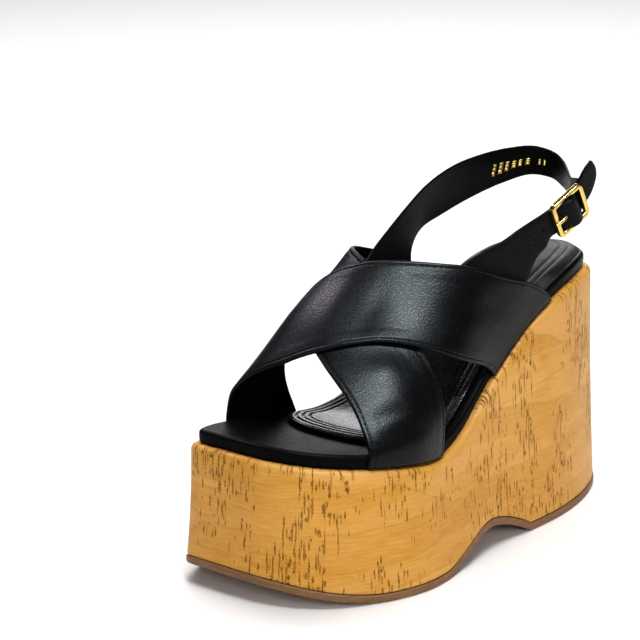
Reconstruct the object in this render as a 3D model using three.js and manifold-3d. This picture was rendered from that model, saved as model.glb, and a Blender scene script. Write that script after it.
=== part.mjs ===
// Platform sandal for the left foot: cork-covered wedge platform, rubber outsole,
// leather-covered insole with a padded sock, two crossed instep bands, and a
// slingback strap closed by a small buckle on the outer side of the ankle.
// Millimetres, +Z up, toe towards -Y, outer (lateral) side towards +X.

import * as THREE from 'three';
import { mergeVertices } from 'three/addons/utils/BufferGeometryUtils.js';
import Module from 'manifold-3d';

const wasm = await Module();
wasm.setup();

// ---------------------------------------------------------------- dimensions

const SOLE_LENGTH = 238;          // outsole, toe tip to heel back
const GAP = 0.3;                  // air left between neighbouring pieces
const OUTSOLE_THICK = 3.5;
const TOE_SPRING = 9.8;           // lift of the outsole under the toe tip
const TOE_SPRING_END = 45;        // station where the forefoot touches the floor
const ARCH_START = 75;            // station where the forefoot leaves the floor
const ARCH_PEAK = 116;
const ARCH_HEIGHT = 11;
const BREAST = 149;               // front edge of the heel's flat
const WALL_INSET_TOE = 6.7;       // outsole edge to insole edge, seen from above
const WALL_INSET_HEEL = 8;
const LEDGE = 3.5;                // cork shelf that shows outside the insole
const INSOLE_THICK = 6;
const SOCK_THICK = 2;
const SOCK_INSET = 3.6;           // sock pad edge to insole edge
const BAND_WALL = 2;              // folded leather band, lining included
const BAND_CLEAR = 0.8;           // band to insole edge
const BAND_LIFT = 1.5;            // extra height of the upper band over the lower one
const STRAP_WALL = 1.6;
const SLING_WALL = 1.2;
const RING_STEPS = 4;             // outline points between two named points
const TURN_STEPS = 40;            // band slices from outer to inner edge
const ACROSS_STEPS = 7;

// Outline of the outsole: x of the inner and outer edge at each station.
const SOLE_ROWS = [
  { at: 2, medial: -36.6, lateral: 8.6 },
  { at: 12, medial: -43.8, lateral: 27 },
  { at: 32, medial: -49.6, lateral: 40.5 },
  { at: 60, medial: -47.4, lateral: 48.6 },
  { at: 92, medial: -40.8, lateral: 44.5 },
  { at: 120, medial: -34.8, lateral: 39.4 },
  { at: 149, medial: -32, lateral: 37.6 },
  { at: 172, medial: -33.2, lateral: 36.2 },
  { at: 197, medial: -35.8, lateral: 31 },
  { at: 220, medial: -29.4, lateral: 21.4 },
  { at: 232, medial: -19.2, lateral: 12 },
];
const TOE_TIP = { x: -17, at: 0 };
const HEEL_TIP = { x: -3.4, at: SOLE_LENGTH };

// Height of the cork's top surface above the floor.
const FOOTBED = [
  { at: 0, z: 62.5 },
  { at: 30, z: 57.4 },
  { at: 55, z: 54.3 },
  { at: 80, z: 52.5 },
  { at: 100, z: 59 },
  { at: 125, z: 75.6 },
  { at: 150, z: 92 },
  { at: 175, z: 102 },
  { at: 205, z: 106 },
  { at: 238, z: 104.6 },
];

// The last above the cork: crest height, sideways lean of the crest, and how
// round each side is (1 = elliptical, smaller = fuller).
const LAST = [
  { at: 30, height: 19.3, lean: -11.2, lateral: 1.1, medial: 1.14 },
  { at: 70, height: 59, lean: -16.4, lateral: 1.14, medial: 0.88 },
  { at: 110, height: 80.8, lean: -12.1, lateral: 0.94, medial: 0.76 },
  { at: 150, height: 81.1, lean: -11.4, lateral: 0.83, medial: 0.72 },
  { at: 190, height: 81, lean: -10.6, lateral: 0.79, medial: 0.72 },
];
const SIDE_RISE = { lateral: 0.84, medial: 0.9 };

// Band edges: station of each edge against the turn round the foot, from the
// outer side (0 degrees) over the instep (90) to the inner side (180).
const BAND_EDGES = [
  { turn: 0, overFront: 124.7, overRear: 170.2, underFront: 35.3, underRear: 79.6 },
  { turn: 22.5, overFront: 95.6, overRear: 134.3, underFront: 37.9, underRear: 82.8 },
  { turn: 45, overFront: 73.6, overRear: 110.4, underFront: 43.1, underRear: 80.6 },
  { turn: 67.5, overFront: 54.8, overRear: 95.3, underFront: 48.5, underRear: 83.2 },
  { turn: 90, overFront: 44, overRear: 86.4, underFront: 56, underRear: 91 },
  { turn: 112.5, overFront: 39, overRear: 78.9, underFront: 66, underRear: 99.1 },
  { turn: 135, overFront: 37, overRear: 73.7, underFront: 81, underRear: 112.8 },
  { turn: 157.5, overFront: 36.4, overRear: 69.1, underFront: 103, underRear: 135.6 },
  { turn: 180, overFront: 35.3, overRear: 75.2, underFront: 130, underRear: 166.7 },
];

// Sling strap from under the lower band's rear edge, round the heel, to the buckle.
const SLING_ROWS = [
  { ux: -19.6, ua: 98, uz: 123, lx: -23.6, la: 129, lz: 107.5 },
  { ux: -21.6, ua: 108.5, uz: 129.3, lx: -23.8, la: 136, lz: 113.8 },
  { ux: -23.5, ua: 120.6, uz: 135.2, lx: -25.6, la: 138.6, lz: 120.7 },
  { ux: -25.5, ua: 134, uz: 141.4, lx: -28.6, la: 145, lz: 125.6 },
  { ux: -28.5, ua: 154, uz: 149.2, lx: -31, la: 153.5, lz: 129 },
  { ux: -30.5, ua: 175.6, uz: 154.2, lx: -32, la: 169, lz: 132.2 },
  { ux: -29.5, ua: 194.6, uz: 156.6, lx: -31, la: 189, lz: 136.8 },
  { ux: -25.5, ua: 210.5, uz: 157.9, lx: -27, la: 208, lz: 141.2 },
  { ux: -18, ua: 220.5, uz: 158.4, lx: -19, la: 219.5, lz: 144.6 },
  { ux: -8.6, ua: 223.2, uz: 156.4, lx: -9.2, la: 222.9, lz: 143.8 },
  { ux: 0.9, ua: 217.7, uz: 154.2, lx: 0.9, la: 218, lz: 141.8 },
  { ux: 11, ua: 206.9, uz: 152.9, lx: 11.7, la: 208.4, lz: 141 },
  { ux: 20, ua: 196.7, uz: 152.2, lx: 21, la: 199.4, lz: 140.4 },
];

// Buckle strap from under the upper band's rear edge up to the buckle.
const TONGUE_ROWS = [
  { ux: 18.6, ua: 109, uz: 119.5, lx: 26.6, la: 149, lz: 106 },
  { ux: 20, ua: 117, uz: 126, lx: 26.6, la: 155.5, lz: 112.8 },
  { ux: 21.9, ua: 127.5, uz: 129.6, lx: 27.2, la: 158.5, lz: 118.6 },
  { ux: 24, ua: 140.5, uz: 133, lx: 27.9, la: 162, lz: 123.4 },
  { ux: 26, ua: 150.5, uz: 137.2, lx: 28.5, la: 166.5, lz: 126.2 },
];

// Buckle: its middle, its long direction and its upright direction.
const BUCKLE = {
  x: 32.5, at: 178.75, z: 141.6,
  along: [0.151, 0.869, 0.475],
  upright: [0, -0.48, 0.877],
  length: 20, height: 17.4, bar: 2, corner: 1.6, pinRadius: 0.8, pinDrop: 0.6,
};
const STRAP_WIDTH = 12.4;         // both straps inside the buckle

// Buckle strap through the frame: along, outward and upright offsets, and the
// in-plane turn of the strap as it curves up towards its tip.
const TONGUE_RUN = [
  { along: -13, out: -2.8, up: 0.1, turn: 0, half: 6.6 },
  { along: -9.8, out: -2.45, up: 0, turn: 0, half: 6.2 },
  { along: -7.6, out: -2.15, up: 0, turn: 0, half: 6.2 },
  { along: -3.6, out: 1.5, up: 0, turn: 0, half: 6.2 },
  { along: 0, out: 3.1, up: 0, turn: 2, half: 6.2 },
  { along: 3, out: 1.9, up: 0.1, turn: 5, half: 6.2 },
  { along: 6.2, out: -1.8, up: 0.3, turn: 8, half: 6 },
  { along: 8.4, out: -2.5, up: 0.6, turn: 12, half: 6 },
  { along: 10.6, out: -2.5, up: 1.3, turn: 18, half: 6 },
  { along: 13, out: -2.1, up: 2.6, turn: 29, half: 6 },
  { along: 15.4, out: -1.4, up: 5, turn: 42, half: 6 },
  { along: 17.6, out: -0.6, up: 8.4, turn: 52, half: 5.6 },
  { along: 19, out: 0, up: 11.4, turn: 56, half: 4.2 },
  { along: 19.8, out: 0.4, up: 13.4, turn: 58, half: 1.6 },
];

// Sling strap end: along and outward offsets down to the middle bar.
const SLING_RUN = [
  { along: 13.4, out: -5.1 },
  { along: 10, out: -4.7 },
  { along: 6.4, out: -4 },
  { along: 3, out: -3.1 },
];
const WRAP_RADIUS = 1.9;          // strap centreline round the middle bar
const WRAP_ANGLES = [-90, -120, -150, -180, -210, -240, -270, -300, -325];

// Prong from the middle bar, through a hole in the strap, to the front bar.
const PRONG_RADIUS = 0.7;
const PRONG_RUN = [
  { along: -1.3, out: 0.9 },
  { along: -4.5, out: 1.9 },
  { along: -8.4, out: 2.15 },
  { along: -11, out: 1.8 },
];

// ------------------------------------------------------------------- helpers

const lerp = THREE.MathUtils.lerp;
const clamp01 = (t) => THREE.MathUtils.clamp(t, 0, 1);
const smooth = (t) => clamp01(t) ** 2 * (3 - 2 * clamp01(t));
const point = (x, at, z) => new THREE.Vector3(x, at, z);

// Smooth curve through a table's rows: value of `key` where column `by` is t.
function through(rows, by, key, t) {
  const last = rows.length - 1;
  let i = 0;
  while (i < last - 1 && t > rows[i + 1][by]) i += 1;
  const slope = (k) => {
    const a = rows[Math.max(k - 1, 0)];
    const b = rows[Math.min(k + 1, last)];
    return (b[key] - a[key]) / (b[by] - a[by]);
  };
  const span = rows[i + 1][by] - rows[i][by];
  const u = (t - rows[i][by]) / span;
  if (u < 0) return rows[i][key] + slope(i) * span * u;
  if (u > 1) return rows[i + 1][key] + slope(i + 1) * span * (u - 1);
  const h = u * u * (3 - 2 * u);
  return rows[i][key] * (1 - h) + rows[i + 1][key] * h
    + span * u * (1 - u) * (slope(i) * (1 - u) - slope(i + 1) * u);
}

// A closed body from points and triangles, with its faces turned outwards.
function body(points, triangles) {
  let volume = 0;
  for (const [a, b, c] of triangles) {
    volume += points[a].dot(points[b].clone().cross(points[c]));
  }
  const index = triangles.flatMap(([a, b, c]) => (volume > 0 ? [a, b, c] : [a, c, b]));
  const geometry = new THREE.BufferGeometry();
  geometry.setAttribute('position', new THREE.Float32BufferAttribute(
    points.flatMap((p) => [p.x, p.y, p.z]), 3));
  geometry.setIndex(index);
  geometry.computeVertexNormals();
  return geometry;
}

// Rings of equal length stacked into a body. Each ring is an outline that starts
// at the toe tip; the ends are closed by strips that join its two sides.
function stack(rings) {
  const count = rings[0].length;
  const points = rings.flat();
  const triangles = [];
  for (let r = 0; r < rings.length - 1; r += 1) {
    for (let i = 0; i < count; i += 1) {
      const j = (i + 1) % count;
      const a = r * count;
      const b = a + count;
      triangles.push([a + i, a + j, b + j], [a + i, b + j, b + i]);
    }
  }
  for (const [base, flip] of [[0, true], [(rings.length - 1) * count, false]]) {
    for (let i = 0; i < count / 2; i += 1) {
      const a = base + i;
      const b = base + i + 1;
      const c = base + ((count - i - 1) % count);
      const d = base + ((count - i) % count);
      const faces = [[a, b, c], [a, c, d]].filter(([p, q, s]) => p !== q && q !== s && p !== s);
      for (const [p, q, s] of faces) triangles.push(flip ? [p, s, q] : [p, q, s]);
    }
  }
  return body(points, triangles);
}

// A sheet of the given wall built on both sides of a grid of middle points.
function sheet(grid, wall) {
  const rows = grid.length;
  const cols = grid[0].length;
  const normalAt = (i, j) => {
    const down = grid[Math.min(i + 1, rows - 1)][j].clone().sub(grid[Math.max(i - 1, 0)][j]);
    const over = grid[i][Math.min(j + 1, cols - 1)].clone().sub(grid[i][Math.max(j - 1, 0)]);
    return down.cross(over).normalize();
  };
  const points = [];
  for (const side of [0.5, -0.5]) {
    for (let i = 0; i < rows; i += 1) {
      for (let j = 0; j < cols; j += 1) {
        points.push(grid[i][j].clone().addScaledVector(normalAt(i, j), side * wall));
      }
    }
  }
  const at = (side, i, j) => side * rows * cols + i * cols + j;
  const triangles = [];
  const quad = (a, b, c, d) => triangles.push([a, b, c], [a, c, d]);
  for (let i = 0; i < rows - 1; i += 1) {
    for (let j = 0; j < cols - 1; j += 1) {
      quad(at(0, i, j), at(0, i + 1, j), at(0, i + 1, j + 1), at(0, i, j + 1));
      quad(at(1, i, j), at(1, i, j + 1), at(1, i + 1, j + 1), at(1, i + 1, j));
    }
    quad(at(0, i, 0), at(1, i, 0), at(1, i + 1, 0), at(0, i + 1, 0));
    quad(at(0, i, cols - 1), at(0, i + 1, cols - 1), at(1, i + 1, cols - 1), at(1, i, cols - 1));
  }
  for (let j = 0; j < cols - 1; j += 1) {
    quad(at(0, 0, j), at(0, 0, j + 1), at(1, 0, j + 1), at(1, 0, j));
    quad(at(0, rows - 1, j), at(1, rows - 1, j), at(1, rows - 1, j + 1), at(0, rows - 1, j + 1));
  }
  return body(points, triangles);
}

function toSolid(geometry) {
  const bare = geometry.clone();
  bare.deleteAttribute('normal');
  bare.deleteAttribute('uv');
  const merged = mergeVertices(bare, 1e-4);
  return new wasm.Manifold(new wasm.Mesh({
    numProp: 3,
    vertProperties: new Float32Array(merged.attributes.position.array),
    triVerts: new Uint32Array(merged.index.array),
  }));
}

function fromSolid(solid) {
  const mesh = solid.getMesh();
  const geometry = new THREE.BufferGeometry();
  geometry.setAttribute('position', new THREE.BufferAttribute(mesh.vertProperties, 3));
  geometry.setIndex(new THREE.BufferAttribute(mesh.triVerts, 1));
  geometry.computeVertexNormals();
  return geometry;
}

const join = (a, b) => fromSolid(toSolid(a).add(toSolid(b)));
const cut = (a, ...tools) => fromSolid(
  tools.reduce((left, tool) => left.subtract(toSolid(tool)), toSolid(a)));

// -------------------------------------------------------------- sole outline

const outlineCurve = new THREE.CatmullRomCurve3([
  point(TOE_TIP.x, TOE_TIP.at, 0),
  ...SOLE_ROWS.map((row) => point(row.lateral, row.at, 0)),
  point(HEEL_TIP.x, HEEL_TIP.at, 0),
  ...SOLE_ROWS.map((row) => point(row.medial, row.at, 0)).reverse(),
], true, 'centripetal');
const OUTLINE = outlineCurve.getPoints(2 * (SOLE_ROWS.length + 1) * RING_STEPS).slice(0, -1);

// The outline drawn in by a distance that may differ from toe to heel.
function outline(inset) {
  const count = OUTLINE.length;
  return OUTLINE.map((p, i) => {
    const tangent = OUTLINE[(i + 1) % count].clone().sub(OUTLINE[(i + count - 1) % count]);
    const inward = point(-tangent.y, tangent.x, 0).normalize();
    return p.clone().addScaledVector(inward, typeof inset === 'function' ? inset(p.y) : inset);
  });
}

const wallInset = (at) => lerp(WALL_INSET_TOE, WALL_INSET_HEEL, clamp01(at / 80));
const footbed = (at) => through(FOOTBED, 'at', 'z', at);
const raise = (ring, height) => ring.map((p) => point(p.x, p.y, height(p.y, p.x)));

function underside(at) {
  if (at < TOE_SPRING_END) return TOE_SPRING * ((TOE_SPRING_END - at) / TOE_SPRING_END) ** 2;
  if (at < ARCH_START) return 0;
  if (at < ARCH_PEAK) return ARCH_HEIGHT * smooth((at - ARCH_START) / (ARCH_PEAK - ARCH_START));
  if (at < BREAST) return ARCH_HEIGHT * (1 - ((at - ARCH_PEAK) / (BREAST - ARCH_PEAK)) ** 1.6);
  return 0;
}

// Inner and outer edge of a drawn-in outline at a station.
function edgesAt(ring, at) {
  const half = ring.length / 2;
  const side = (list) => {
    for (let i = 0; i < list.length - 1; i += 1) {
      const [a, b] = [list[i], list[i + 1]];
      if ((a.y - at) * (b.y - at) <= 0 && a.y !== b.y) {
        return lerp(a.x, b.x, (at - a.y) / (b.y - a.y));
      }
    }
    return 0;
  };
  return { lateral: side(ring.slice(0, half + 1)), medial: side([...ring.slice(half), ring[0]]) };
}

const INSOLE_EDGE = outline(wallInset);

// ---------------------------------------------------------------- sole pieces

const outsole = stack([
  raise(outline(1), underside),
  raise(outline(0.2), (at) => underside(at) + 0.8),
  raise(outline(0), (at) => underside(at) + 2),
  raise(outline(0.2), (at) => underside(at) + OUTSOLE_THICK - 0.5),
  raise(outline(0.8), (at) => underside(at) + OUTSOLE_THICK),
]);

const corkEdge = (more) => outline((at) => wallInset(at) - LEDGE + more);
const corkFoot = (at) => underside(at) + OUTSOLE_THICK + GAP;
const platformWedge = stack([
  raise(outline(1.4), corkFoot),
  raise(outline(0.9), (at) => corkFoot(at) + 0.8),
  raise(outline((at) => lerp(0.9, wallInset(at) - LEDGE, 0.35) + 0.5),
    (at) => lerp(corkFoot(at), footbed(at), 0.3)),
  raise(outline((at) => lerp(0.9, wallInset(at) - LEDGE, 0.7) + 0.5),
    (at) => lerp(corkFoot(at), footbed(at), 0.62)),
  raise(corkEdge(0), (at) => footbed(at) - 3.2),
  raise(corkEdge(0.5), (at) => footbed(at) - 1.5),
  raise(corkEdge(1.4), (at) => footbed(at) - 0.4),
  raise(corkEdge(2.4), footbed),
]);

const insoleEdge = (more) => outline((at) => wallInset(at) + more);
const insoleTop = (at) => footbed(at) + GAP + INSOLE_THICK;
const insole = stack([
  raise(insoleEdge(0.6), (at) => footbed(at) + GAP),
  raise(insoleEdge(0), (at) => footbed(at) + GAP + 1),
  raise(insoleEdge(0), (at) => insoleTop(at) - 1.6),
  raise(insoleEdge(0.5), (at) => insoleTop(at) - 0.5),
  raise(insoleEdge(1.7), insoleTop),
]);

// The sock pad starts behind the toes with a rounded front edge.
const SOCK_FRONT = [
  { at: 51, medial: -16, lateral: 14 },
  { at: 57, medial: -27, lateral: 25 },
  { at: 67, medial: -33, lateral: 32 },
];
const SOCK_STATIONS = [80, 95, 110, 125, 140, 155, 170, 185, 200, 212, 221];
const sockRows = [...SOCK_FRONT, ...SOCK_STATIONS.map((at) => {
  const edge = edgesAt(insoleEdge(SOCK_INSET), at);
  return { at, medial: edge.medial, lateral: edge.lateral };
})];
const sockCurve = new THREE.CatmullRomCurve3([
  point(-1, 49, 0),
  ...sockRows.map((row) => point(row.lateral, row.at, 0)),
  point(HEEL_TIP.x, SOLE_LENGTH - WALL_INSET_HEEL - SOCK_INSET, 0),
  ...sockRows.map((row) => point(row.medial, row.at, 0)).reverse(),
], true, 'centripetal');
const SOCK = sockCurve.getPoints(2 * (sockRows.length + 1) * 3).slice(0, -1);
const shrink = (ring, d) => ring.map((p, i) => {
  const count = ring.length;
  const tangent = ring[(i + 1) % count].clone().sub(ring[(i + count - 1) % count]);
  return p.clone().addScaledVector(point(-tangent.y, tangent.x, 0).normalize(), d);
});
const sockPad = stack([
  raise(SOCK, (at) => insoleTop(at) + GAP),
  raise(SOCK, (at) => insoleTop(at) + GAP + SOCK_THICK * 0.5),
  raise(shrink(SOCK, 1.4), (at) => insoleTop(at) + GAP + SOCK_THICK),
]);

// ---------------------------------------------------------------------- upper

function lastPoint(at, turn, lift) {
  const edge = edgesAt(INSOLE_EDGE, at);
  const outer = edge.lateral + BAND_CLEAR + BAND_WALL / 2;
  const inner = edge.medial - BAND_CLEAR - BAND_WALL / 2;
  const angle = THREE.MathUtils.degToRad(turn);
  const cos = Math.cos(angle);
  const sin = Math.max(Math.sin(angle), 0);
  const side = cos > 0 ? 'lateral' : 'medial';
  const x = (outer + inner) / 2
    + ((outer - inner) / 2) * Math.sign(cos) * Math.abs(cos) ** through(LAST, 'at', side, at)
    + through(LAST, 'at', 'lean', at) * sin * sin + lift * cos;
  const z = footbed(at) + GAP + through(LAST, 'at', 'height', at) * sin ** SIDE_RISE[side]
    + lift * sin;
  return point(x, at, z);
}

function band(front, rear, lift) {
  const grid = [];
  for (let i = 0; i <= TURN_STEPS; i += 1) {
    const turn = (180 * i) / TURN_STEPS;
    const from = through(BAND_EDGES, 'turn', front, turn);
    const to = through(BAND_EDGES, 'turn', rear, turn);
    const row = [];
    for (let j = 0; j <= ACROSS_STEPS; j += 1) {
      row.push(lastPoint(lerp(from, to, j / ACROSS_STEPS), turn, lift(turn)));
    }
    grid.push(row);
  }
  return sheet(grid, BAND_WALL);
}

const overLift = (turn) => BAND_LIFT * smooth((turn - 20) / 30) * smooth((160 - turn) / 30);
const upper = join(
  band('overFront', 'overRear', overLift),
  band('underFront', 'underRear', () => 0),
);

// --------------------------------------------------------------------- straps

const axisAlong = new THREE.Vector3(...BUCKLE.along).normalize();
const axisOut = axisAlong.clone().cross(new THREE.Vector3(...BUCKLE.upright)).normalize();
const axisUp = axisOut.clone().cross(axisAlong).normalize();
const atBuckle = (along, up, out) => point(BUCKLE.x, BUCKLE.at, BUCKLE.z)
  .addScaledVector(axisAlong, along).addScaledVector(axisUp, up).addScaledVector(axisOut, out);

// A flat strap between an upper and a lower edge, each a smooth curve.
function strap(upperEdge, lowerEdge, wall, steps) {
  const [high, low] = [upperEdge, lowerEdge].map(
    (list) => new THREE.CatmullRomCurve3(list, false, 'centripetal'));
  const total = (upperEdge.length - 1) * steps;
  const grid = [];
  for (let i = 0; i <= total; i += 1) {
    grid.push([high.getPoint(i / total), low.getPoint(i / total)]);
  }
  return sheet(grid, wall);
}

const slingHigh = SLING_ROWS.map((r) => point(r.ux, r.ua, r.uz));
const slingLow = SLING_ROWS.map((r) => point(r.lx, r.la, r.lz));
const wrap = WRAP_ANGLES.map((degrees) => {
  const angle = THREE.MathUtils.degToRad(degrees);
  return {
    along: WRAP_RADIUS * Math.cos(angle),
    out: WRAP_RADIUS * Math.sin(angle) - BUCKLE.pinDrop,
  };
});
for (const { along, out } of [...SLING_RUN, ...wrap]) {
  slingHigh.push(atBuckle(along, STRAP_WIDTH / 2, out));
  slingLow.push(atBuckle(along, -STRAP_WIDTH / 2, out));
}

// A block lined up with the buckle, used for slots and holes.
function block(along, up, out, length, height, depth) {
  const geometry = new THREE.BoxGeometry(length, height, depth);
  geometry.applyMatrix4(new THREE.Matrix4().makeBasis(axisAlong, axisUp, axisOut));
  const middle = atBuckle(along, up, out);
  return geometry.translate(middle.x, middle.y, middle.z);
}

const prongSlot = block(-0.4, 0, -0.6, 6.2, 2.6, 5.6);
const slingStrap = cut(strap(slingHigh, slingLow, SLING_WALL, 4), prongSlot);

const tongueHigh = TONGUE_ROWS.map((r) => point(r.ux, r.ua, r.uz));
const tongueLow = TONGUE_ROWS.map((r) => point(r.lx, r.la, r.lz));
for (const { along, out, up, turn, half } of TONGUE_RUN) {
  const angle = THREE.MathUtils.degToRad(turn);
  const middle = atBuckle(along, up, out);
  const across = axisUp.clone().multiplyScalar(Math.cos(angle))
    .addScaledVector(axisAlong, -Math.sin(angle));
  tongueHigh.push(middle.clone().addScaledVector(across, half));
  tongueLow.push(middle.clone().addScaledVector(across, -half));
}
const prongHole = block(-3.9, 0, 1, 6, 2.2, 8);
const tongueStrap = cut(strap(tongueHigh, tongueLow, STRAP_WALL, 4), prongHole);

// --------------------------------------------------------------------- buckle

function roundedRectangle(width, height, radius) {
  const shape = new THREE.Shape();
  const [x, y] = [width / 2, height / 2];
  shape.moveTo(-x + radius, -y);
  shape.lineTo(x - radius, -y);
  shape.quadraticCurveTo(x, -y, x, -y + radius);
  shape.lineTo(x, y - radius);
  shape.quadraticCurveTo(x, y, x - radius, y);
  shape.lineTo(-x + radius, y);
  shape.quadraticCurveTo(-x, y, -x, y - radius);
  shape.lineTo(-x, -y + radius);
  shape.quadraticCurveTo(-x, -y, -x + radius, -y);
  return shape;
}

const frameShape = roundedRectangle(BUCKLE.length, BUCKLE.height, BUCKLE.corner);
frameShape.holes.push(roundedRectangle(
  BUCKLE.length - 2 * BUCKLE.bar, BUCKLE.height - 2 * BUCKLE.bar, 0.5));
const framePlate = new THREE.ExtrudeGeometry(frameShape, {
  depth: BUCKLE.bar - 0.6, bevelEnabled: true, bevelThickness: 0.3, bevelSize: 0.3,
  bevelOffset: -0.3, bevelSegments: 1, curveSegments: 3,
}).translate(0, 0, -BUCKLE.bar / 2 + 0.3);
const pin = new THREE.CylinderGeometry(
  BUCKLE.pinRadius, BUCKLE.pinRadius, BUCKLE.height - BUCKLE.bar, 12)
  .translate(0, 0, -BUCKLE.pinDrop);
const toBuckle = new THREE.Matrix4().makeBasis(axisAlong, axisUp, axisOut)
  .setPosition(BUCKLE.x, BUCKLE.at, BUCKLE.z);
const buckleFrame = join(framePlate, pin).applyMatrix4(toBuckle);

const prongPath = new THREE.CatmullRomCurve3(
  PRONG_RUN.map(({ along, out }) => point(along, 0, out)));
const prongSection = new THREE.Shape().absarc(0, 0, PRONG_RADIUS, 0, 2 * Math.PI);
const prongRod = new THREE.ExtrudeGeometry(prongSection, {
  steps: 10, curveSegments: 6, bevelEnabled: false, extrudePath: prongPath,
});
const prongRing = new THREE.TorusGeometry(
  BUCKLE.pinRadius + GAP + PRONG_RADIUS, PRONG_RADIUS, 8, 18)
  .rotateX(Math.PI / 2).translate(0, 0, -BUCKLE.pinDrop);
const buckleProng = join(prongRod, prongRing).applyMatrix4(toBuckle);

// -------------------------------------------------------------------- assembly

const LEATHER = { color: 0x17171c, roughness: 0.42, metalness: 0 };
const PIECES = [
  { name: 'outsole', geometry: outsole, color: 0x92704f, roughness: 0.75, metalness: 0 },
  { name: 'platform_wedge', geometry: platformWedge, color: 0xdcaa62, roughness: 0.7, metalness: 0 },
  { name: 'insole', geometry: insole, ...LEATHER, color: 0x1d1d20, roughness: 0.5 },
  { name: 'sock_pad', geometry: sockPad, ...LEATHER, color: 0x202024, roughness: 0.45 },
  { name: 'upper', geometry: upper, ...LEATHER },
  { name: 'sling_strap', geometry: slingStrap, ...LEATHER },
  { name: 'tongue_strap', geometry: tongueStrap, ...LEATHER },
  { name: 'buckle_frame', geometry: buckleFrame, color: 0xd9a93f, roughness: 0.22, metalness: 1 },
  { name: 'buckle_prong', geometry: buckleProng, color: 0xd9a93f, roughness: 0.22, metalness: 1 },
];

// Origin: the middle of the footprint of the whole sandal, on the floor.
const bounds = new THREE.Box3();
for (const { geometry } of PIECES) {
  geometry.computeBoundingBox();
  bounds.union(geometry.boundingBox);
}
const middle = bounds.getCenter(new THREE.Vector3());

const sandal = new THREE.Group();
for (const { name, geometry, color, roughness, metalness } of PIECES) {
  geometry.translate(-middle.x, -middle.y, -bounds.min.z);
  const mesh = new THREE.Mesh(
    geometry, new THREE.MeshStandardMaterial({ color, roughness, metalness }));
  mesh.name = name;
  sandal.add(mesh);
}

export default sandal;
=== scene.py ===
import math

import bpy
import numpy as np
from bpy.props import FloatProperty, FloatVectorProperty, PointerProperty
from bpy.types import Operator, Panel, PropertyGroup
from mathutils import Matrix, Quaternion, Vector


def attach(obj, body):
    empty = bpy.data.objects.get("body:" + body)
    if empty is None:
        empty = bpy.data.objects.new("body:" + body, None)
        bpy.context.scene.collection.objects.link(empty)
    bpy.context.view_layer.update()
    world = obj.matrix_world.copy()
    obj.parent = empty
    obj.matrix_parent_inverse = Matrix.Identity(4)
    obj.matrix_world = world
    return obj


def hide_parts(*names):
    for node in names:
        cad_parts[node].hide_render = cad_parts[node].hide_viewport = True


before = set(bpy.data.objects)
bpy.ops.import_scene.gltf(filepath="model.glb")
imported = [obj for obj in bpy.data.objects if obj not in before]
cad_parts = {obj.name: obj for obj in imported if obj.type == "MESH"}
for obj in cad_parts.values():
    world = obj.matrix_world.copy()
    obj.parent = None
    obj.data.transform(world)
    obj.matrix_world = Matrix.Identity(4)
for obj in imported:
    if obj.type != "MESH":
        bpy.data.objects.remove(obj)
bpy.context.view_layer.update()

bl_info = {
    "name": "Cork Platform Sandal",
    "version": (1, 0, 0),
    "blender": (4, 5, 0),
    "location": "View3D > Sidebar > Sandal",
    "description": "Builds a cork platform sandal with crossed leather bands and a buckled sling",
    "category": "Object",
}

# ---------------------------------------------------------------------------
# Sizes of the sandal in millimetres. Stations run from the toe tip (0) to the
# back of the heel (238); x is positive on the outer side of the foot.

MM = 0.001
# the frame's origin
ORIGIN = np.array([-0.607, 118.978, 0.0])
SOLE_LENGTH = 238.0
# room between pieces that meet
GAP = 0.3
OUTSOLE_THICK = 3.5
TOE_SPRING = 9.8
TOE_SPRING_END = 45.0
ARCH_START = 75.0
ARCH_PEAK = 116.0
ARCH_HEIGHT = 11.0
BREAST = 149.0
# how far the insole's side stands in from the sole's outline, and how far
# the cork's top reaches past the insole
WALL_INSET_TOE = 6.7
WALL_INSET_HEEL = 8.0
LEDGE = 3.5
INSOLE_THICK = 6.0
SOCK_THICK = 2.0
SOCK_INSET = 3.6
BAND_WALL = 2.0
# room between a band and the insole's side; the upper band's rise over the
# lower one; how far the bands' ends are drawn in and lifted off the cork
BAND_CLEAR = 0.8
BAND_LIFT = 2.15
HUG = 0.9
TUCK = 1.0
TUCK_REACH = 0.25
STRAP_WALL = 1.6
SLING_WALL = 1.2
OUTLINE_STEPS = 16
WRAP_MAP = "wrap"

# station, inner edge, outer edge
SOLE_ROWS = (
    (2, -36.6, 8.6),
    (12, -43.8, 27),
    (32, -49.6, 40.5),
    (60, -47.4, 48.6),
    (92, -40.8, 44.5),
    (120, -34.8, 39.4),
    (149, -32, 37.6),
    (172, -33.2, 36.2),
    (197, -35.8, 31),
    (220, -29.4, 21.4),
    (232, -19.2, 12),
)
TOE_TIP = (-17, 0)
HEEL_TIP = (-3.4, SOLE_LENGTH)

# station, height of the cork's top
FOOTBED = np.array(
    [
        (0, 62.5),
        (30, 57.4),
        (55, 54.3),
        (80, 52.5),
        (100, 59),
        (125, 75.6),
        (150, 92),
        (175, 102),
        (205, 106),
        (238, 104.6),
    ]
)

# station, crest height, lean, roundness of the outer and of the inner side
LAST = np.array(
    [
        (30, 19.3, -11.2, 1.1, 1.14),
        (70, 59, -16.4, 1.14, 0.88),
        (110, 80.8, -12.1, 0.94, 0.76),
        (150, 81.1, -11.4, 0.83, 0.72),
        (190, 81, -10.6, 0.79, 0.72),
    ]
)
SIDE_RISE = (0.84, 0.9)

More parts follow.
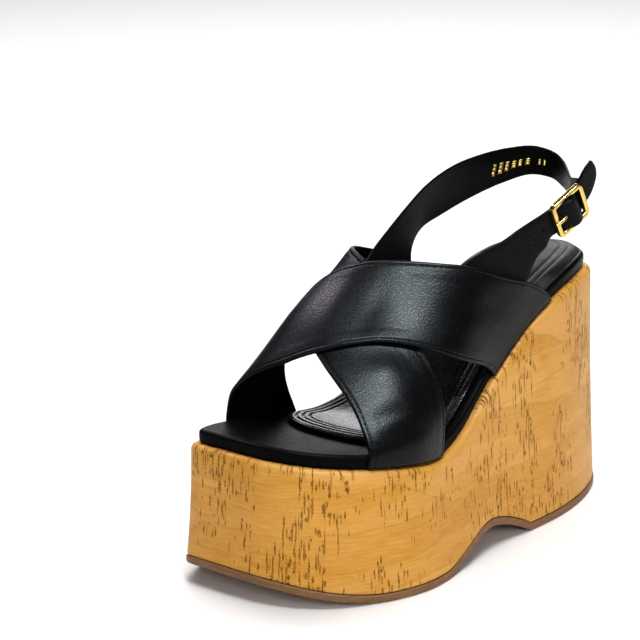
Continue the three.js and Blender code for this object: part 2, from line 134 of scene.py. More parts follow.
# turn round the foot, then the stations of the upper band's front and rear
# edge and of the lower band's front and rear edge
BAND_EDGES = np.array(
    [
        (0, 124.7, 170.2, 35.3, 79.6),
        (22.5, 95.6, 134.3, 37.9, 82.8),
        (45, 73.6, 110.4, 43.1, 80.6),
        (67.5, 54.8, 95.3, 48.5, 83.2),
        (90, 44, 86.4, 56, 91),
        (112.5, 39, 78.9, 66, 99.1),
        (135, 37, 73.7, 81, 112.8),
        (157.5, 36.4, 69.1, 103, 135.6),
        (180, 35.3, 75.2, 130, 166.7),
    ]
)

# upper edge and lower edge of the sling strap, up to the buckle
SLING_ROWS = (
    ((-19.6, 98, 123), (-23.6, 129, 107.5)),
    ((-21.6, 108.5, 129.3), (-23.8, 136, 113.8)),
    ((-23.5, 120.6, 135.2), (-25.6, 138.6, 120.7)),
    ((-25.5, 134, 141.4), (-28.6, 145, 125.6)),
    ((-28.5, 154, 149.2), (-31, 153.5, 129)),
    ((-30.5, 175.6, 154.2), (-32, 169, 132.2)),
    ((-29.5, 194.6, 156.6), (-31, 189, 136.8)),
    ((-25.5, 210.5, 157.9), (-27, 208, 141.2)),
    ((-18, 220.5, 158.4), (-19, 219.5, 144.6)),
    ((-8.6, 223.2, 156.4), (-9.2, 222.9, 143.8)),
    ((0.9, 217.7, 154.2), (0.9, 218, 141.8)),
    ((11, 206.9, 152.9), (11.7, 208.4, 141)),
    ((20, 196.7, 152.2), (21, 199.4, 140.4)),
)
# the same edges of the buckle strap, from the upper band to the buckle
TONGUE_ROWS = (
    ((18.6, 109, 119.5), (26.6, 149, 106)),
    ((20, 117, 126), (26.6, 155.5, 112.8)),
    ((21.9, 127.5, 129.6), (27.2, 158.5, 118.6)),
    ((24, 140.5, 133), (27.9, 162, 123.4)),
    ((26, 150.5, 137.2), (28.5, 166.5, 126.2)),
)

# the buckle's middle: x, station, height
BUCKLE_MIDDLE = np.array([32.5, 178.75, 141.6])
BUCKLE_LENGTH = 20.0
BUCKLE_HEIGHT = 17.4
BUCKLE_BAR = 2.0
# section of the bar that the frame is bent from
FRAME_DEPTH = 2.8
FRAME_WIDTH = 2.5
# the middle bar, and how far it lies behind the frame's middle plane
PIN_RADIUS = 0.8
PIN_DROP = 0.6
STRAP_WIDTH = 13.0
# rows of the mesh from one given place of a strap to the next
SLING_STEPS = 12
TONGUE_STEPS = 14

# along, outward, upright, turn, half width of the buckle strap in the frame
TONGUE_RUN = (
    (-13, -2.8, 0.1, 0, 6.7),
    (-9.8, -2.45, 0, 0, 6.6),
    (-7.6, -2.15, 0, 0, 6.6),
    (-3.6, 1.5, 0, 0, 6.9),
    (0, 3.1, 0, 2, 7),
    (3, 1.9, 0.1, 5, 6.9),
    (6.2, -1.8, 0.3, 8, 6.6),
    (8.4, -2.5, 0.6, 12, 6.6),
    (10.6, -2.5, 1.3, 18, 6.4),
    (13, -2.1, 2.5, 29, 6),
    (15.2, -1.4, 4.7, 42, 5.6),
    (17.2, -0.6, 7.8, 51, 4.9),
    (18.7, 0, 10.9, 56, 3.2),
    (19.7, 0.4, 13.5, 59, 0.7),
)
# along, outward: the sling strap on its way to the middle bar
SLING_RUN = ((13.4, -5.1), (10, -4.7), (6.4, -4), (3, -3.1))
# its turn round the middle bar
WRAP_RADIUS = 1.9
WRAP_ANGLES = (-90, -120, -150, -180, -210, -240, -270, -300, -325)
PRONG_RADIUS = 0.7
# along, outward
PRONG_RUN = ((-1.3, 0.9), (-4.5, 1.9), (-8.4, 2.15), (-11, 1.8))
# the holes' places along the strap, from the buckle's middle
STRAP_HOLES = (-24.2, -15.8, -4.0, 4.6)
HOLE_RADIUS = 0.95
# the upright line inside the heel that the sling strap faces away from
HEEL_AXIS = np.array([0.0, 175.0, 0.0])

# ---------------------------------------------------------------------------
# Curves and surfaces


def clamp01(t):
    return np.clip(t, 0.0, 1.0)


def smooth(t):
    t = clamp01(t)
    return t * t * (3 - 2 * t)


def ramp(t, start, end):
    """0 up to the start, then smoothly up to 1 at the end."""
    return smooth((t - start) / (end - start))


def lerp(a, b, t):
    return a + (b - a) * t


def bell(distance, width):
    """1 at distance 0, falling off over the width."""
    return np.exp(-((distance / width) ** 2))


def through(rows, column, t):
    """Smooth curve through one column of a table, against its first column."""
    xs, ys = rows[:, 0], rows[:, column]
    last = len(xs) - 1
    before = np.maximum(np.arange(last + 1) - 1, 0)
    after = np.minimum(np.arange(last + 1) + 1, last)
    slope = (ys[after] - ys[before]) / (xs[after] - xs[before])
    t = np.asarray(t, float)
    i = np.clip(np.searchsorted(xs, t) - 1, 0, last - 1)
    span = xs[i + 1] - xs[i]
    u = (t - xs[i]) / span
    rise = u * u * (3 - 2 * u)
    bend = span * u * (1 - u) * (slope[i] * (1 - u) - slope[i + 1] * u)
    inside = ys[i] * (1 - rise) + ys[i + 1] * rise + bend
    low = ys[i] + slope[i] * span * u
    high = ys[i + 1] + slope[i + 1] * span * (u - 1)
    return np.where(u < 0, low, np.where(u > 1, high, inside))


def spline(points, steps, closed=False):
    """Centripetal curve through the points, with that many steps to a span."""
    p = np.asarray(points, float)
    count = len(p)
    spans = count if closed else count - 1
    result = []
    for i in range(spans):
        p1, p2 = p[i], p[(i + 1) % count]
        p0 = p[i - 1] if closed or i > 0 else 2 * p[0] - p[1]
        p3 = p[(i + 2) % count] if closed or i + 2 < count else 2 * p[-1] - p[-2]
        sides = ((p0, p1), (p1, p2), (p2, p3))
        d0, d1, d2 = (max(np.sum((b - a) ** 2) ** 0.25, 1e-4) for a, b in sides)
        t1 = ((p1 - p0) / d0 - (p2 - p0) / (d0 + d1) + (p2 - p1) / d1) * d1
        t2 = ((p2 - p1) / d1 - (p3 - p1) / (d1 + d2) + (p3 - p2) / d2) * d1
        u = np.linspace(0, 1, steps, endpoint=False)[:, None]
        bend = (3 * (p2 - p1) - 2 * t1 - t2) * u**2 + (2 * (p1 - p2) + t1 + t2) * u**3
        result.append(p1 + t1 * u + bend)
    if not closed:
        result.append(p[-1:])
    return np.concatenate(result)


def unit(vectors):
    return vectors / np.maximum(np.linalg.norm(vectors, axis=-1, keepdims=True), 1e-9)


def path_run(path):
    """Distance along a path at each of its points."""
    return np.concatenate([[0], np.cumsum(np.linalg.norm(np.diff(path, axis=0), axis=1))])


def sample(values, run, spots):
    """Rows of a table between its own places along a run, at other spots."""
    return np.stack([np.interp(spots, run, values[:, k]) for k in range(values.shape[1])], -1)


def drawn_in(ring, distance):
    """A closed outline moved inwards by a distance, which may vary round it."""
    tangent = unit(np.roll(ring, -1, 0) - np.roll(ring, 1, 0))
    inward = np.stack([-tangent[:, 1], tangent[:, 0]], 1)
    return ring + inward * np.reshape(distance, (-1, 1))


OUTLINE = spline(
    [TOE_TIP]
    + [(row[2], row[0]) for row in SOLE_ROWS]
    + [HEEL_TIP]
    + [(row[1], row[0]) for row in reversed(SOLE_ROWS)],
    OUTLINE_STEPS,
    closed=True,
)


def wall_inset(at):
    """How far the insole's side stands in from the outline at a station."""
    return lerp(WALL_INSET_TOE, WALL_INSET_HEEL, clamp01(at / 80))


def footbed(at):
    """Height of the cork's top at a station."""
    return through(FOOTBED, 1, at)


def insole_top(at):
    """Height of the insole's top at a station."""
    return footbed(at) + GAP + INSOLE_THICK


def underside(at):
    """Height of the outsole's lower face: toe spring, arch and flat heel."""
    toe = TOE_SPRING * (clamp01((TOE_SPRING_END - at) / TOE_SPRING_END)) ** 2
    rise = ARCH_HEIGHT * smooth((at - ARCH_START) / (ARCH_PEAK - ARCH_START))
    fall = ARCH_HEIGHT * (1 - clamp01((at - ARCH_PEAK) / (BREAST - ARCH_PEAK)) ** 1.6)
    arch = np.where(at < ARCH_PEAK, rise, fall)
    return toe + np.where((at > ARCH_START) & (at < BREAST), arch, 0)


def cork_foot(at):
    """Height of the cork's lower face at a station."""
    return underside(at) + OUTSOLE_THICK + GAP


def outline(inset):
    """The sole's outline drawn in by a distance or by a function of station."""
    return drawn_in(OUTLINE, inset(OUTLINE[:, 1]) if callable(inset) else inset)


def raised(ring, height):
    """An outline lifted to a height, given as a function of station."""
    return np.column_stack([ring[:, 0], ring[:, 1], height(ring[:, 1])])


INSOLE_EDGE = outline(wall_inset)


def edges_at(ring, at):
    """x of the outer and of the inner edge of an outline at a station."""
    half = len(ring) // 2
    outer = ring[: half + 1]
    inner = np.concatenate([ring[half:], ring[:1]])[::-1]
    return np.interp(at, outer[:, 1], outer[:, 0]), np.interp(at, inner[:, 1], inner[:, 0])


# ---------------------------------------------------------------------------
# Mesh making


def to_frame(points):
    return (np.asarray(points, float) - ORIGIN) * MM


def add_piece(name, points, faces, materials, slots=None):
    """A smooth-shaded mesh object from points in millimetres."""
    mesh = bpy.data.meshes.new(name)
    mesh.from_pydata(to_frame(points).tolist(), [], [list(map(int, f)) for f in faces])
    for material in materials:
        mesh.materials.append(material)
    if slots is not None:
        mesh.polygons.foreach_set("material_index", np.asarray(slots, dtype=np.int32))
    mesh.polygons.foreach_set("use_smooth", [True] * len(mesh.polygons))
    mesh.update()
    piece = bpy.data.objects.new(name, mesh)
    bpy.context.scene.collection.objects.link(piece)
    return piece


def finish_piece(piece, slot, *nodes):
    """Rides the piece on the root body and hides the nodes it replaces; the slot is not used."""
    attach(piece, "root")
    if nodes:
        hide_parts(*nodes)
    return piece


def volume(points, faces):
    """Signed volume of a closed mesh of triangles and quads."""
    total = 0.0
    for corner in (1, 2):
        picked = np.array([(f[0], f[corner], f[corner + 1]) for f in faces if len(f) > corner + 1])
        if len(picked):
            a, b, c = (points[picked[:, k]] for k in range(3))
            total += np.einsum("ij,ij->i", a, np.cross(b, c)).sum()
    return total / 6


def outwards(points, faces):
    """The faces, turned round if they look inwards."""
    return faces if volume(points, faces) > 0 else [f[::-1] for f in faces]


def joined_rings(rings, count, closed=False):
    """Quads between each ring of points and the next."""
    around = np.arange(count)
    after = (around + 1) % count
    faces = []
    for i in range(rings if closed else rings - 1):
        a = i * count
        b = (i + 1) % rings * count
        faces += np.column_stack([a + around, a + after, b + after, b + around]).tolist()
    return faces


def strip_cap(base, count, flip):
    """Faces across a ring of points, from one side of it to the other."""
    faces = []
    for i in range(count // 2):
        face = [base + i, base + i + 1, base + (count - i - 1) % count, base + (count - i) % count]
        face = [v for k, v in enumerate(face) if v not in face[:k]]
        if len(face) > 2:
            faces.append(face[::-1] if flip else face)
    return faces


def stack(rings):
    """Rings of equal length stacked into a closed body."""
    count = len(rings[0])
    points = np.concatenate(rings)
    faces = joined_rings(len(rings), count)
    faces += strip_cap(0, count, True)
    faces += strip_cap(len(points) - count, count, False)
    return points, outwards(points, faces)


# the most of a strip's width that the close columns of one edge take up
EDGE_SHARE = 0.42


def columns(widths, edge_steps, inner_count):
    """Distances of a strip's columns from its first edge, close near edges."""
    edge = np.asarray(edge_steps, float)
    scale = np.minimum(edge[-1], EDGE_SHARE * widths) / edge[-1]
    near = edge[None, :] * scale[:, None]
    free = widths[:, None] - 2 * near[:, -1:]
    inner = near[:, -1:] + free * np.linspace(0, 1, inner_count + 2)[None, 1:-1]
    return np.concatenate([near, inner, widths[:, None] - near[:, ::-1]], 1)


def surface_normals(grid):
    """Unit normals of a grid of points."""
    down = np.gradient(grid, axis=0)
    over = np.gradient(grid, axis=1)
    return unit(np.cross(down, over))


def shell(middle, normals, edge_distance, wall, outer_relief=0.0, inner_relief=0.0):
    """A closed sheet with rolled edges round a grid of middle points.

    Gives the points, the faces, which faces are lining, and the outer grid."""
    rows, cols = middle.shape[:2]
    half = wall / 2
    roll = clamp01(edge_distance / half)
    thick = half * np.sqrt(clamp01(1 - (1 - roll) ** 2))
    fade = smooth(edge_distance / (1.2 * half))
    outer = middle + normals * (thick + outer_relief * fade)[..., None]
    inner = middle - normals * (thick - inner_relief * fade)[..., None]
    loop = np.concatenate([outer, inner[:, -2:0:-1]], 1)
    around = loop.shape[1]
    points = loop.reshape(-1, 3)
    faces = joined_rings(rows, around)
    lining = (np.arange(around) >= cols - 1).astype(int)
    slots = np.tile(lining, rows - 1).tolist()
    for base, flip in ((0, True), ((rows - 1) * around, False)):
        cap = strip_cap(base, around, flip)
        faces += cap
        slots += [0] * len(cap)
    return points, outwards(points, faces), slots, outer


def tube(path, radii, sides, closed=False, up=(0, 0, 1)):
    """A round bar along a path; radii may vary, given as one or as pairs."""
    path = np.asarray(path, float)
    count = len(path)
    if closed:
        tangent = unit(np.roll(path, -1, 0) - np.roll(path, 1, 0))
    else:
        tangent = unit(np.gradient(path, axis=0))
    if np.ndim(radii) < 2:
        radii = np.reshape(radii, (-1, 1))
    radii = np.broadcast_to(radii, (count, 2))
    first = unit(np.cross(np.broadcast_to(up, path.shape), tangent))
    second = np.cross(tangent, first)
    angle = np.linspace(0, 2 * math.pi, sides, endpoint=False)
    ring = (
        path[:, None]
        + first[:, None] * (radii[:, :1] * np.cos(angle))[..., None]
        + second[:, None] * (radii[:, 1:] * np.sin(angle))[..., None]
    )
    points = ring.reshape(-1, 3)
    faces = joined_rings(count, sides, closed)
    if not closed:
        faces += [list(range(sides))[::-1], [(count - 1) * sides + n for n in range(sides)]]
    return points, faces


def merged(parts):
    """Several (points, faces) as one."""
    points, faces, base = [], [], 0
    for some_points, some_faces in parts:
        points.append(some_points)
        faces += [[v + base for v in f] for f in some_faces]
        base += len(some_points)
    return np.concatenate(points), faces


# height over the surface and thickness of the thread along one stitch
STITCH_LIFT = (-0.22, 0.02, 0.1, 0.02, -0.22)
STITCH_WIDTH = (0.08, 0.15, 0.17, 0.15, 0.08)
STITCH_MARGIN = 2.0
STITCH_SHARE = 0.76


def stitches(path, normals, pitch, length=None, keep=None):
    """A row of thread stitches lying on a surface along a path."""
    length = length or STITCH_SHARE * pitch
    run = path_run(path)
    parts = []
    for start in np.arange(STITCH_MARGIN, run[-1] - STITCH_MARGIN, pitch):
        spots = start + np.linspace(0, length, len(STITCH_LIFT))
        at = sample(path, run, spots)
        up = unit(sample(normals, run, spots))
        if keep is not None and not keep(at[2]):
            continue
        parts.append(tube(at + up * np.reshape(STITCH_LIFT, (-1, 1)), STITCH_WIDTH, 6, up=up[2]))
    return merged(parts)


# ---------------------------------------------------------------------------
# Shader nodes


class Wiring:
    """Adds and links nodes in one node tree."""

    def __init__(self, tree):
        self.tree = tree

    def add(self, kind, inputs=None, **settings):
        node = self.tree.nodes.new(kind)
        for name, value in settings.items():
            setattr(node, name, value)
        for name, value in (inputs or {}).items():
            self.put(node.inputs[name], value)
        return node

    def put(self, socket, value):
        if isinstance(value, bpy.types.NodeSocket):
            self.tree.links.new(value, socket)
        else:
            socket.default_value = value

    def maths(self, operation, a, b=0.0, clamp=False):
        node = self.add("ShaderNodeMath", {0: a, 1: b}, operation=operation, use_clamp=clamp)
        return node.outputs[0]

    def times(self, a, b):
        return self.maths("MULTIPLY", a, b)

    def vector(self, operation, a, b):
        return self.add("ShaderNodeVectorMath", {0: a, 1: b}, operation=operation).outputs[0]

    def noise(self, place, scale, detail=3.0, roughness=0.55, distortion=0.0, output=0):
        node = self.add(
            "ShaderNodeTexNoise",
            {
                "Vector": place,
                "Scale": scale,
                "Detail": detail,
                "Roughness": roughness,
                "Distortion": distortion,
            },
        )
        return node.outputs[output]

    def warped(self, place, scale, detail, push):
        """A place pushed about by noise."""
        shove = self.noise(place, scale, detail, output=1)
        return self.vector("ADD", place, self.vector("MULTIPLY", shove, push))

    def stretched(self, place, scale, shift=(0, 0, 0), turn=(0, 0, 0)):
        inputs = {"Vector": place, "Scale": scale, "Location": shift, "Rotation": turn}
        return self.add("ShaderNodeMapping", inputs).outputs[0]

    def fit(self, value, low, high, to_low=0.0, to_high=1.0):
        node = self.add("ShaderNodeMapRange", interpolation_type="SMOOTHSTEP")
        for name, number in (
            ("Value", value),
            ("From Min", low),
            ("From Max", high),
            ("To Min", to_low),
            ("To Max", to_high),
        ):
            self.put(node.inputs[name], number)
        return node.outputs[0]

    def blend(self, factor, a, b):
        node = self.add("ShaderNodeMix", data_type="RGBA")
        self.put(node.inputs["Factor"], factor)
        self.put(node.inputs[6], a)
        self.put(node.inputs[7], b)
        return node.outputs[2]

    def cover(self, ground, mask, share, colour):
        """A colour laid over the ground through a mask, at a share of it."""
        return self.blend(self.times(mask, share), ground, colour)

    def bump(self, height, distance):
        return self.add("ShaderNodeBump", {"Height": height, "Distance": distance}).outputs[0]


def place_of(wiring):
    return wiring.add("ShaderNodeTexCoord").outputs["Object"]


def new_group(name, inputs, outputs):
    """A shader node group with float inputs (name: default) and outputs."""
    group = bpy.data.node_groups.new(name, "ShaderNodeTree")
    for label, default in inputs.items():
        socket = group.interface.new_socket(label, in_out="INPUT", socket_type="NodeSocketFloat")
        socket.default_value = default
    for label in outputs:
        group.interface.new_socket(label, in_out="OUTPUT", socket_type="NodeSocketFloat")
    wiring = Wiring(group)
    return group, wiring, wiring.add("NodeGroupInput").outputs, wiring.add("NodeGroupOutput").inputs


def once(store, name):
    """Makes a named group or material the first time, then gives that one."""

    def wrap(make):
        def get(*given):
            kept = getattr(bpy.data, store)
            return kept[name] if name in kept else make(name, *given)

        return get

    return wrap


@once("node_groups", "leather_grain")
def grain_group(name):
    """Leather grain: rounded pebbles, the cracks between them, fine wrinkles."""
    group, w, given, out = new_group(
        name,
        {"Pebble Scale": 850.0, "Wrinkle": 0.5},
        ("Height", "Valley", "Cloud"),
    )
    place = place_of(w)
    scale = given["Pebble Scale"]
    moved = w.warped(place, 300.0, 2.0, (0.0012, 0.0012, 0.0012))
    pebble = w.add(
        "ShaderNodeTexVoronoi",
        {"Vector": moved, "Scale": scale, "Smoothness": 0.25},
        feature="SMOOTH_F1",
    )
    fine = w.noise(moved, w.times(scale, 2.6), 2.0, 0.6)
    dome = w.fit(pebble.outputs["Distance"], 0.1, 0.75, 1.0, 0.0)
    wrinkle = w.noise(moved, w.times(scale, 0.42), 3.0, 0.6, 0.4)
    height = w.maths("ADD", dome, w.times(fine, 0.5))
    height = w.maths("ADD", height, w.times(w.times(wrinkle, given["Wrinkle"]), 1.2))
    w.put(out["Height"], height)
    w.put(out["Valley"], w.maths("SUBTRACT", 1.0, dome))
    w.put(out["Cloud"], w.fit(w.noise(place, 40.0, 4.0, 0.6), 0.35, 0.68))
    return group


@once("node_groups", "surface_wear")
def wear_group(name):
    """Faint dust and rubbing: patchy, and a little more on upward faces."""
    group, w, given, out = new_group(name, {"Patch Scale": 60.0, "Amount": 0.3}, ("Mask", "Speck"))
    scale = given["Patch Scale"]
    place = w.add("ShaderNodeTexCoord").outputs
    facing = w.add("ShaderNodeSeparateXYZ", {0: place["Normal"]}).outputs[2]
    upward = w.fit(facing, -0.2, 0.9, 0.35, 1.0)
    patch = w.fit(w.noise(place["Object"], scale, 5.0, 0.65), 0.42, 0.75)
    speck = w.fit(w.noise(place["Object"], w.times(scale, 22.0), 2.0), 0.62, 0.72)
    w.put(out["Mask"], w.times(w.times(patch, upward), given["Amount"]))
    w.put(out["Speck"], w.times(w.times(speck, upward), given["Amount"]))
    return group


def wrap_place(wiring):
    """Distance round the sole and height above the floor, in metres."""
    return wiring.add("ShaderNodeUVMap", uv_map=WRAP_MAP).outputs[0]


@once("node_groups", "cork_flecks")
def fleck_group(name):
    """Upright flecks in cork: long thin cells of random size, in clusters."""
    group, w, given, out = new_group(
        name,
        {"Across": 500.0, "Upright": 70.0, "Reach": 0.2, "Rarity": 0.5, "Shift": 0.0},
        ("Mask", "Halo"),
    )
    place = wrap_place(w)
    moved = w.warped(place, 210.0, 3.0, (0.0013, 0.0006, 0.0))
    size = w.add("ShaderNodeCombineXYZ", {0: given["Across"], 1: given["Upright"]}).outputs[0]
    shift = w.add("ShaderNodeCombineXYZ", {0: given["Shift"], 1: given["Shift"]}).outputs[0]
    spot = w.vector("ADD", w.vector("MULTIPLY", moved, size), shift)
    cell = w.add("ShaderNodeTexVoronoi", {"Vector": spot, "Scale": 1.0}, voronoi_dimensions="2D")
    chance = w.add("ShaderNodeSeparateColor", {0: cell.outputs["Color"]}).outputs
    lump = w.noise(w.stretched(place, (1, 0.6, 1)), 38.0, 2.0)
    rare = w.maths("ADD", given["Rarity"], w.fit(lump, 0.36, 0.62, 0.16, -0.3))
    kept = w.fit(w.maths("SUBTRACT", chance[0], rare), 0.0, 0.35)
    ragged = w.fit(w.noise(place, 1700.0, 2.0), 0.3, 0.7, 0.4, 1.35)
    reach = w.times(w.times(given["Reach"], kept), ragged)
    inside = w.maths("SUBTRACT", reach, cell.outputs["Distance"])
    w.put(out["Mask"], w.fit(inside, 0.0, 0.05))
    w.put(out["Halo"], w.times(w.fit(inside, -0.2, 0.03), kept))
    return group


def use_group(wiring, group, **values):
    node = wiring.add("ShaderNodeGroup")
    node.node_tree = group
    for name, value in values.items():
        wiring.put(node.inputs[name.replace("_", " ")], value)
    return node.outputs


def new_material(name, preview):
    """A material with one Principled shader; gives it, its wiring and shader."""
    material = bpy.data.materials.new(name)
    material.use_nodes = True
    material.diffuse_color = (*preview, 1.0)
    tree = material.node_tree
    shader = tree.nodes["Principled BSDF"]
    return material, Wiring(tree), shader


def set_shader(shader, **values):
    for name, value in values.items():
        shader.inputs[name.replace("_", " ")].default_value = value


def colour4(colour):
    return (*colour, 1.0)


LEATHERS = {
    # name: which of the finish's colours, paler gleam, pebble scale, wrinkle, depth
    # of the grain, roughness, gloss, tint of the gloss, roughness at the heel
    "upper_leather_black": (
        ("leather", (0.0036, 0.0034, 0.0046), 1150.0, 0.3, 0.000038),
        (0.24, 0.13, (0.9, 0.97, 1.0), None),
    ),
    "strap_leather_black": (
        ("leather", (0.003, 0.003, 0.0035), 1300.0, 0.3, 0.00003),
        (0.34, 0.07, (0.95, 1.0, 1.0), None),
    ),
    "lining_leather_satin": (
        ("lining", (0.003, 0.003, 0.0035), 1500.0, 0.3, 0.00002),
        (0.32, 0.035, (1.0, 0.96, 1.0), None),
    ),
    "insole_leather_satin": (
        ("lining", (0.003, 0.003, 0.0032), 1250.0, 0.35, 0.00003),
        (0.3, 0.025, (1.0, 1.0, 1.0), None),
    ),
    "sock_leather_glazed": (
        ("lining", (0.012, 0.0118, 0.0135), 1150.0, 0.5, 0.00004),
        (0.16, 0.4, (1.0, 0.96, 1.0), 0.4),
    ),
}
DUST = (0.22, 0.23, 0.23)
# the stretch along the foot, in metres, over which leather turns matt
MATT_RUN = (0.02, 0.06)


def leather(name, finish):
    """Dyed leather: dark ground, paler gleam where the grain catches light.

    With a heel roughness, the leather turns matt towards the heel."""
    if name in bpy.data.materials:
        return bpy.data.materials[name]
    (dye, gleam, pebble, wrinkle, depth), (rough, gloss, tint, heel_rough) = LEATHERS[name]
    tone = tuple(getattr(finish, dye))
    material, w, shader = new_material(name, tone)
    grain = use_group(w, grain_group(), Pebble_Scale=pebble, Wrinkle=wrinkle)
    wear = use_group(w, wear_group(), Patch_Scale=70.0, Amount=0.35)
    base = w.blend(grain["Cloud"], colour4(tone), colour4(gleam))
    # the cracks between the pebbles are painted darker: painted shade in the grain's valleys
    base = w.cover(base, grain["Valley"], 0.6, colour4([c * 0.4 for c in tone]))
    base = w.cover(base, wear["Speck"], 0.12, colour4(DUST))
    w.put(shader.inputs["Base Color"], base)
    if heel_rough is not None:
        along = w.add("ShaderNodeSeparateXYZ", {0: place_of(w)}).outputs[1]
        rough = w.fit(along, *MATT_RUN, rough, heel_rough)
    rough = w.maths("ADD", rough, w.times(grain["Valley"], 0.16))
    rough = w.maths("ADD", rough, w.times(wear["Mask"], 0.12), clamp=True)
    w.put(shader.inputs["Roughness"], rough)
    w.put(shader.inputs["Normal"], w.bump(grain["Height"], depth))
    set_shader(shader, Specular_IOR_Level=gloss, Specular_Tint=colour4(tint))
    return material


FLECK_KINDS = (
    # cells across and upright to the metre, reach, rarity, shift
    (540.0, 62.0, 0.25, 0.7, 0.0),
    (700.0, 36.0, 0.26, 0.78, 7.3),
    (620.0, 150.0, 0.29, 0.72, 3.1),
    (390.0, 260.0, 0.35, 0.88, 11.7),
)


@once("materials", "cork_veneer")
def cork_material(name, finish):
    """Cork veneer: honey ground, chips of it, veins and dark upright flecks."""
    material, w, shader = new_material(name, finish.cork)
    place = wrap_place(w)
    cork = np.array(finish.cork)
    honey = colour4(cork)
    amber = colour4(cork * (0.86, 0.72, 0.28))
    peach = colour4(cork * (1.18, 1.24, 2.3))
    olive = colour4(cork * (0.82, 0.76, 0.3))
    umber = colour4(cork * (0.78, 0.6, 0.3))
    joint = colour4(cork * (0.6, 0.45, 0.25))
    grime = colour4(cork * (0.6, 0.45, 0.3))
    # cloudy patches
    patch = w.fit(w.noise(w.stretched(place, (1, 2.2, 1)), 30.0, 4.0, 0.6), 0.42, 0.62)
    ground = w.cover(honey, patch, 0.75, amber)
    blotch = w.noise(w.stretched(place, (1, 1.6, 1), (0.2, 0.9, 0)), 75.0, 4.0, 0.65)
    ground = w.cover(ground, w.fit(blotch, 0.56, 0.72), 0.6, olive)
    drift = w.noise(w.stretched(place, (1, 2.6, 1), (0.7, 0.3, 0)), 17.0, 3.0)
    ground = w.cover(ground, w.fit(drift, 0.4, 0.6), 0.8, peach)
    # long chips of veneer, each a little lighter or darker, climbing to the heel
    swayed = w.warped(place, 22.0, 2.0, (0.03, 0.009, 0.0))
    leaning = w.stretched(swayed, (8.0, 62.0, 1.0), (0.3, 0.2, 0), (0, 0, 0.12))
    chip, edge = (
        w.add(
            "ShaderNodeTexVoronoi",
            {"Vector": leaning, "Scale": 1.0},
            voronoi_dimensions="2D",
            feature=feature,
        ).outputs
        for feature in ("F1", "DISTANCE_TO_EDGE")
    )
    tint = w.add("ShaderNodeSeparateColor", {0: chip["Color"]}).outputs
    ground = w.cover(ground, tint[0], 0.65, amber)
    ground = w.cover(ground, w.fit(tint[1], 0.4, 1.0), 0.6, peach)
    near_edge = w.fit(edge["Distance"], 0.0, 0.026, 1.0, 0.0)
    seam = w.times(near_edge, w.fit(tint[2], 0.2, 0.9, 0.1, 0.6))
    ground = w.cover(ground, seam, 0.55, joint)
    # thin lying veins
    vein = w.noise(w.stretched(place, (1, 13, 1)), 95.0, 4.0, 0.7)
    ground = w.cover(ground, w.fit(vein, 0.42, 0.7), 0.6, peach)
    vein = w.noise(w.stretched(place, (1, 22, 1), (0.4, 0.7, 0)), 60.0, 3.0, 0.7)
    ground = w.cover(ground, w.fit(vein, 0.56, 0.74), 0.6, umber)
    # dark upright flecks, each with an olive halo
    mask, halo = 0.0, 0.0
    for across, upright, reach, rarity, shift in FLECK_KINDS:
        kind = {"Across": across, "Upright": upright, "Reach": reach, "Rarity": rarity, "Shift": shift}
        fleck = use_group(w, fleck_group(), **kind)
        mask = w.maths("MAXIMUM", mask, fleck["Mask"])
        halo = w.maths("MAXIMUM", halo, fleck["Halo"])
    ground = w.cover(ground, halo, 0.65, olive)
    depth_tone = w.fit(w.noise(place, 420.0, 2.0), 0.35, 0.65, 0.45, 0.95)
    ground = w.cover(ground, mask, depth_tone, colour4(finish.fleck))
    wear = use_group(w, wear_group(), Patch_Scale=45.0, Amount=0.5)
    ground = w.cover(ground, wear["Speck"], 0.2, grime)
    w.put(shader.inputs["Base Color"], ground)
    rough = w.maths("ADD", 0.5, w.times(mask, 0.3))
    rough = w.maths("ADD", rough, w.times(wear["Mask"], 0.15), clamp=True)
    w.put(shader.inputs["Roughness"], rough)
    crumb = w.noise(place_of(w), 900.0, 3.0, 0.6)
    height = w.maths("SUBTRACT", w.times(crumb, 0.3), mask)
    height = w.maths("SUBTRACT", height, w.times(seam, 0.4))
    w.put(shader.inputs["Normal"], w.bump(height, 0.00016))
    set_shader(shader, Specular_IOR_Level=0.22)
    return material


@once("materials", "outsole_rubber_brown")
def rubber_material(name, finish):
    """Brown outsole rubber with a sanded side and a fine moulded sole."""
    material, w, shader = new_material(name, finish.rubber)
    place = place_of(w)
    rubber = np.array(finish.rubber)
    streak = w.noise(w.stretched(place, (1, 1, 9)), 140.0, 4.0, 0.65)
    base = w.blend(w.fit(streak, 0.35, 0.7), colour4(rubber), colour4(rubber * 0.72))
    wear = use_group(w, wear_group(), Patch_Scale=80.0, Amount=0.8)
    base = w.cover(base, wear["Mask"], 0.35, colour4(rubber * 1.35))
    base = w.cover(base, wear["Speck"], 0.3, colour4(rubber * 0.4))
    w.put(shader.inputs["Base Color"], base)
    w.put(shader.inputs["Roughness"], w.fit(streak, 0.3, 0.7, 0.52, 0.7))
    sanded = w.noise(w.stretched(place, (1, 1, 3)), 1500.0, 2.0)
    w.put(shader.inputs["Normal"], w.bump(sanded, 0.00012))
    set_shader(shader, Specular_IOR_Level=0.4)
    return material


@once("materials", "sole_adhesive")
def glue_material(name, finish):
    """Dark line of set adhesive on the outsole's upper face."""
    rubber = np.array(finish.rubber)
    material, w, shader = new_material(name, tuple(rubber * 0.2))
    patch = w.noise(place_of(w), 300.0, 3.0)
    w.put(shader.inputs["Base Color"], w.blend(patch, colour4(rubber * 0.12), colour4(rubber * 0.34)))
    w.put(shader.inputs["Roughness"], w.fit(patch, 0.3, 0.7, 0.55, 0.8))
    set_shader(shader, Specular_IOR_Level=0.2)
    return material


